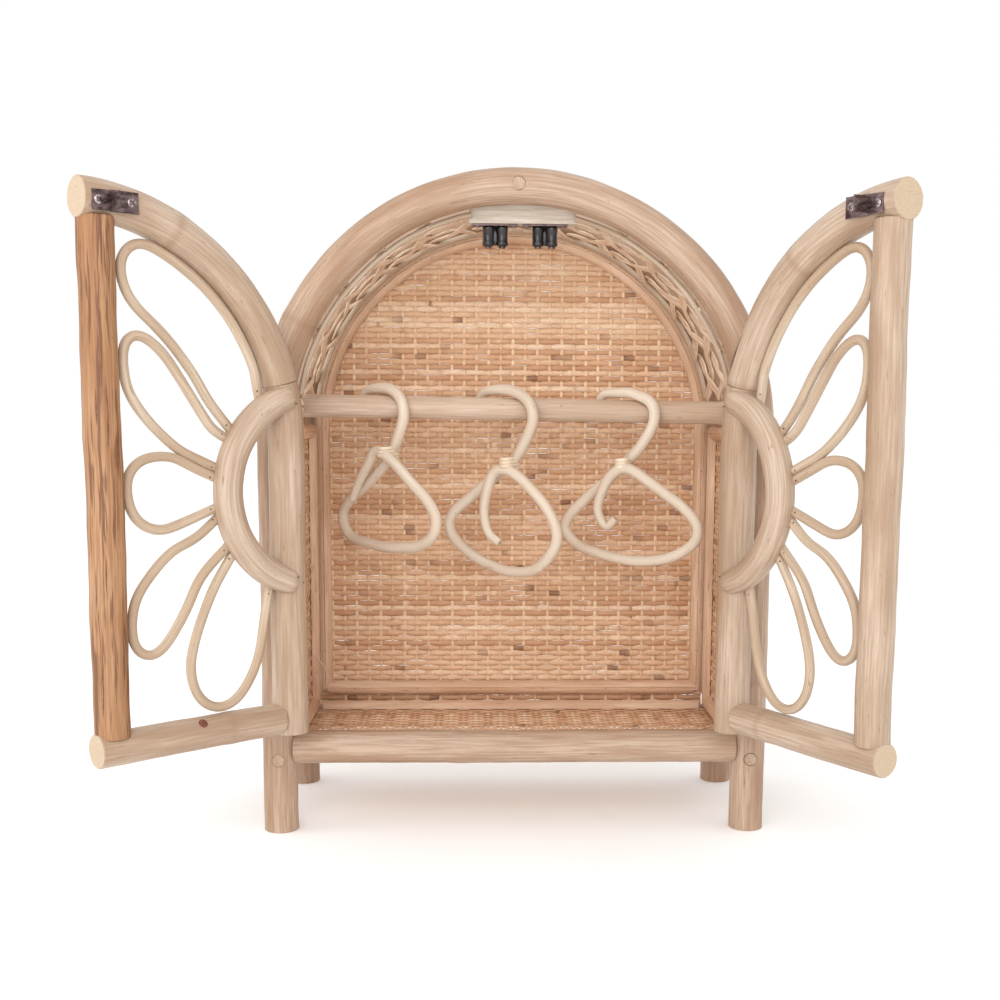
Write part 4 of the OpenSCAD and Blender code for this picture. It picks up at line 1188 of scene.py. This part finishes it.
def head_shape(name, radius, height, rings, sides, cross=0.0):
    """A domed head round the origin, facing up, in metres, with a cross if wanted."""
    points = [(0, 0, height - (cross and 1.0))]
    turns = [2 * math.pi * k / sides for k in range(sides)]
    for i in range(1, rings + 1):
        r = radius * i / rings
        for a in turns:
            x, y = r * math.cos(a), r * math.sin(a)
            z = height * (1 - 0.75 * (i / rings) ** 2.2)
            if cross and r < radius * 0.62 and min(abs(x), abs(y)) < cross:
                z -= 1.0
            points.append((x, y, z))
    low = len(points)
    points += [(radius * math.cos(a), radius * math.sin(a), -0.4) for a in turns]
    faces = backwards(fan(1, sides, 0)) + backwards(between(rings + 1, sides, 1))
    faces.append(tuple(low + k for k in range(sides))[::-1])
    mesh = bpy.data.meshes.new(name)
    mesh.from_pydata([tuple(c * MM for c in p) for p in points], [], faces)
    obj = bpy.data.objects.new(name, mesh)
    bpy.context.scene.collection.objects.link(obj)
    return obj


def fixings(name, places, head_object, material, body, nodes=(), spread_by=0.0, seed=1):
    mesh = guide_mesh(name, [([p], [d], 0, [0]) for p, d in places])
    obj = grow(name, fix_tree, mesh, Head=head_object, Size=1.0, Size_Spread=spread_by, Seed=seed,
               Head_Material=material)
    obj.data.set_sharp_from_angle(angle=math.radians(35))
    return finish_piece(obj, body, nodes)


screw_head = head_shape("screw_head", 3.0, 1.3, 7, 36, 0.42)
nail_head = head_shape("nail_head", 0.55, 0.3, 3, 10)

# %% Screws and nails
for side in ("left", "right"):
    fixings(f"{side}_strike_screw_heads", [(p, d) for s, p, d in screw_points if s == side], screw_head,
            SCREW, f"{side}_door", [f"{side}_strike_screws"])
    nails, inward = [], swing_direction(side, (0, 1, 0))
    for x, z, y in ((-1, 340.5, 18.2), (2.5, 336, 17.6), (-1, 204.5, 18.2), (3, 209, 17.8)):
        nails.append((swing(side, [(x, y, z)])[0], inward))
    for ends in hub_angles:
        for angle in ends:
            px, pz = at_hub(angle, PETAL_NAILS_R)
            nails.append((swing(side, [(px, PETAL_Y + PETAL_R - 0.1, pz)])[0], inward))
    fixings(f"{side}_door_nails", nails, nail_head, NAIL, f"{side}_door", spread_by=0.15,
            seed=5)
block_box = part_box("catch_plates")
screw_y = ((block_box[0].y + block_box[1].y) / 2 - middle[1]) / MM
plate_low = block_box[1].z / MM - 1.4
fixings("catch_screw_heads", [((x + d, screw_y, plate_low), (0, 0, -1)) for x in catch_x.values()
                              for d in (-14, 14)], screw_head, SCREW, "cabinet",
        ["catch_screws"])
trim_nails = []
for a in range(12, 180, 24):
    trim_nails.append(((trim_arch * math.cos(math.radians(a)), weave_y - 5.5,
                        spring_z + trim_arch * math.sin(math.radians(a))), (0, -1, 0)))
for z in (120, 200, 280):
    trim_nails += [((s * trim_arch, weave_y - 5.5, z), (0, -1, 0)) for s in (-1, 1)]
for x in range(-140, 141, 56):
    trim_nails.append(((x, weave_y - 5.5, trim_low), (0, -1, 0)))
fixings("trim_nails", trim_nails, nail_head, NAIL, "cabinet", spread_by=0.15, seed=8)
for spare in (screw_head, nail_head):
    bpy.data.objects.remove(spare)

# %% [markdown]
# The remaining parts of the CAD model already have the right shape: the catch block, the plates with
# the roller pins, and the hinge leaves and pins. They stay, and only get their finish.

# %% Kept CAD parts
for node, material in (("catch_block", SAWN), ("catch_plates", STEEL), ("cabinet_hinge_leaves", STEEL),
                       ("hinge_pins", STEEL), ("left_hinge_leaves", STEEL), ("right_hinge_leaves", STEEL)):
    kept = frame["nodes"][node]
    kept.data.materials.clear()
    kept.data.materials.append(material)

# %% [markdown]
# ## Signs of handwork
#
# What makes it cane rather than plastic pipe are the accidents: a drying crack in the right door's
# arch, long splits in the bark of the left free stile, a knot in its bottom rail, and a loose
# splinter. A crack is a thin dark
# sliver lying just in the skin of the pole, pointed at both ends.

# %% Cracks and splinters
def sliver(points, radius, seed, body, name, material, sides=6):
    return piece(name, sweep(smooth_path(points, 1.5), radius, sides, 1.5, seed=seed, uneven=0.1,
                             crooked=0.2, chamfer=0.02,
                             taper=([0, 0.3, 0.6, 1], [0.15, 1, 0.8, 0.1])), material, body)


crack = []
for a, lean in ((163, 0.62), (159.5, 0.56), (156, 0.47), (153, 0.40), (150, 0.30)):
    r = DOOR_R + math.sin(lean) * (pole_r - 0.25)
    crack.append((STILE_X + r * math.cos(math.radians(a)), math.cos(lean) * (pole_r - 0.25),
                  DOOR_SPRING + r * math.sin(math.radians(a))))
sliver(swing("right", crack), 0.9, 61, "right_door", "right_arch_crack", SHADOW_GAP)
for n, (turn_by, z0, z1) in enumerate(((28, 205, 262), (-22, 150, 196), (6, 300, 352), (52, 120, 160),
                                       (-50, 232, 280), (40, 318, 366))):
    a = math.radians(turn_by)
    split = [(FREE_X + (FREE_R - 0.2) * math.sin(a + 0.05 * k % 0.07), (FREE_R - 0.2) * math.cos(a), z)
             for k, z in enumerate(np.linspace(z0, z1, 6))]
    sliver(swing("left", split), 0.5, 70 + n, "left_door", f"left_stile_split_{n + 1}", SHADOW_GAP)
knot = disc((80, 7.9, DOOR_RAIL_Z + 8.6), (0, 0.68, 0.73), 3.4, 0.9, 0.5, 18)
piece("left_rail_knot", (swing("left", knot[0]), knot[1], knot[2]), KNOT, "left_door")
sliver([(-172, 40, 120), (-163, 30, 112), (-158, 24, 104), (-155, 20, 97)], 0.7, 62, "cabinet",
       "loose_splinter", PEEL)

# %% [markdown]
# ## Floor and counts
#
# A wide pale floor catches the soft shadow under the legs. Then the number of pieces and triangles
# is printed, with the largest piece.

# %% Floor
floor_finish, tree, shader = new_material("pale_floor")
cloud = stretched_noise(tree, object_place(tree), (2, 2, 2), 3)
paper = ramp(tree, cloud, [(0.3, (0.93, 0.93, 0.925)), (0.7, (0.96, 0.96, 0.955))])
fill(tree, shader, {"Base Color": paper, "Roughness": 0.9, "Emission Color": (1, 1, 1, 1),
                    "Emission Strength": 0.12})
ground = bpy.data.meshes.new("floor")
WIDE = 12.0
ground.from_pydata([(-WIDE, -WIDE, 0), (WIDE, -WIDE, 0), (WIDE, WIDE, 0), (-WIDE, WIDE, 0)], [],
                   [(0, 1, 2, 3)])
ground.materials.append(floor_finish)
floor = bpy.data.objects.new("floor", ground)
bpy.context.scene.collection.objects.link(floor)

# %% Sizes
total = sum(made.values())
largest = max(made, key=made.get)
print(f"{len(made)} pieces, {total} triangles, the largest is {largest} with {made[largest]}")
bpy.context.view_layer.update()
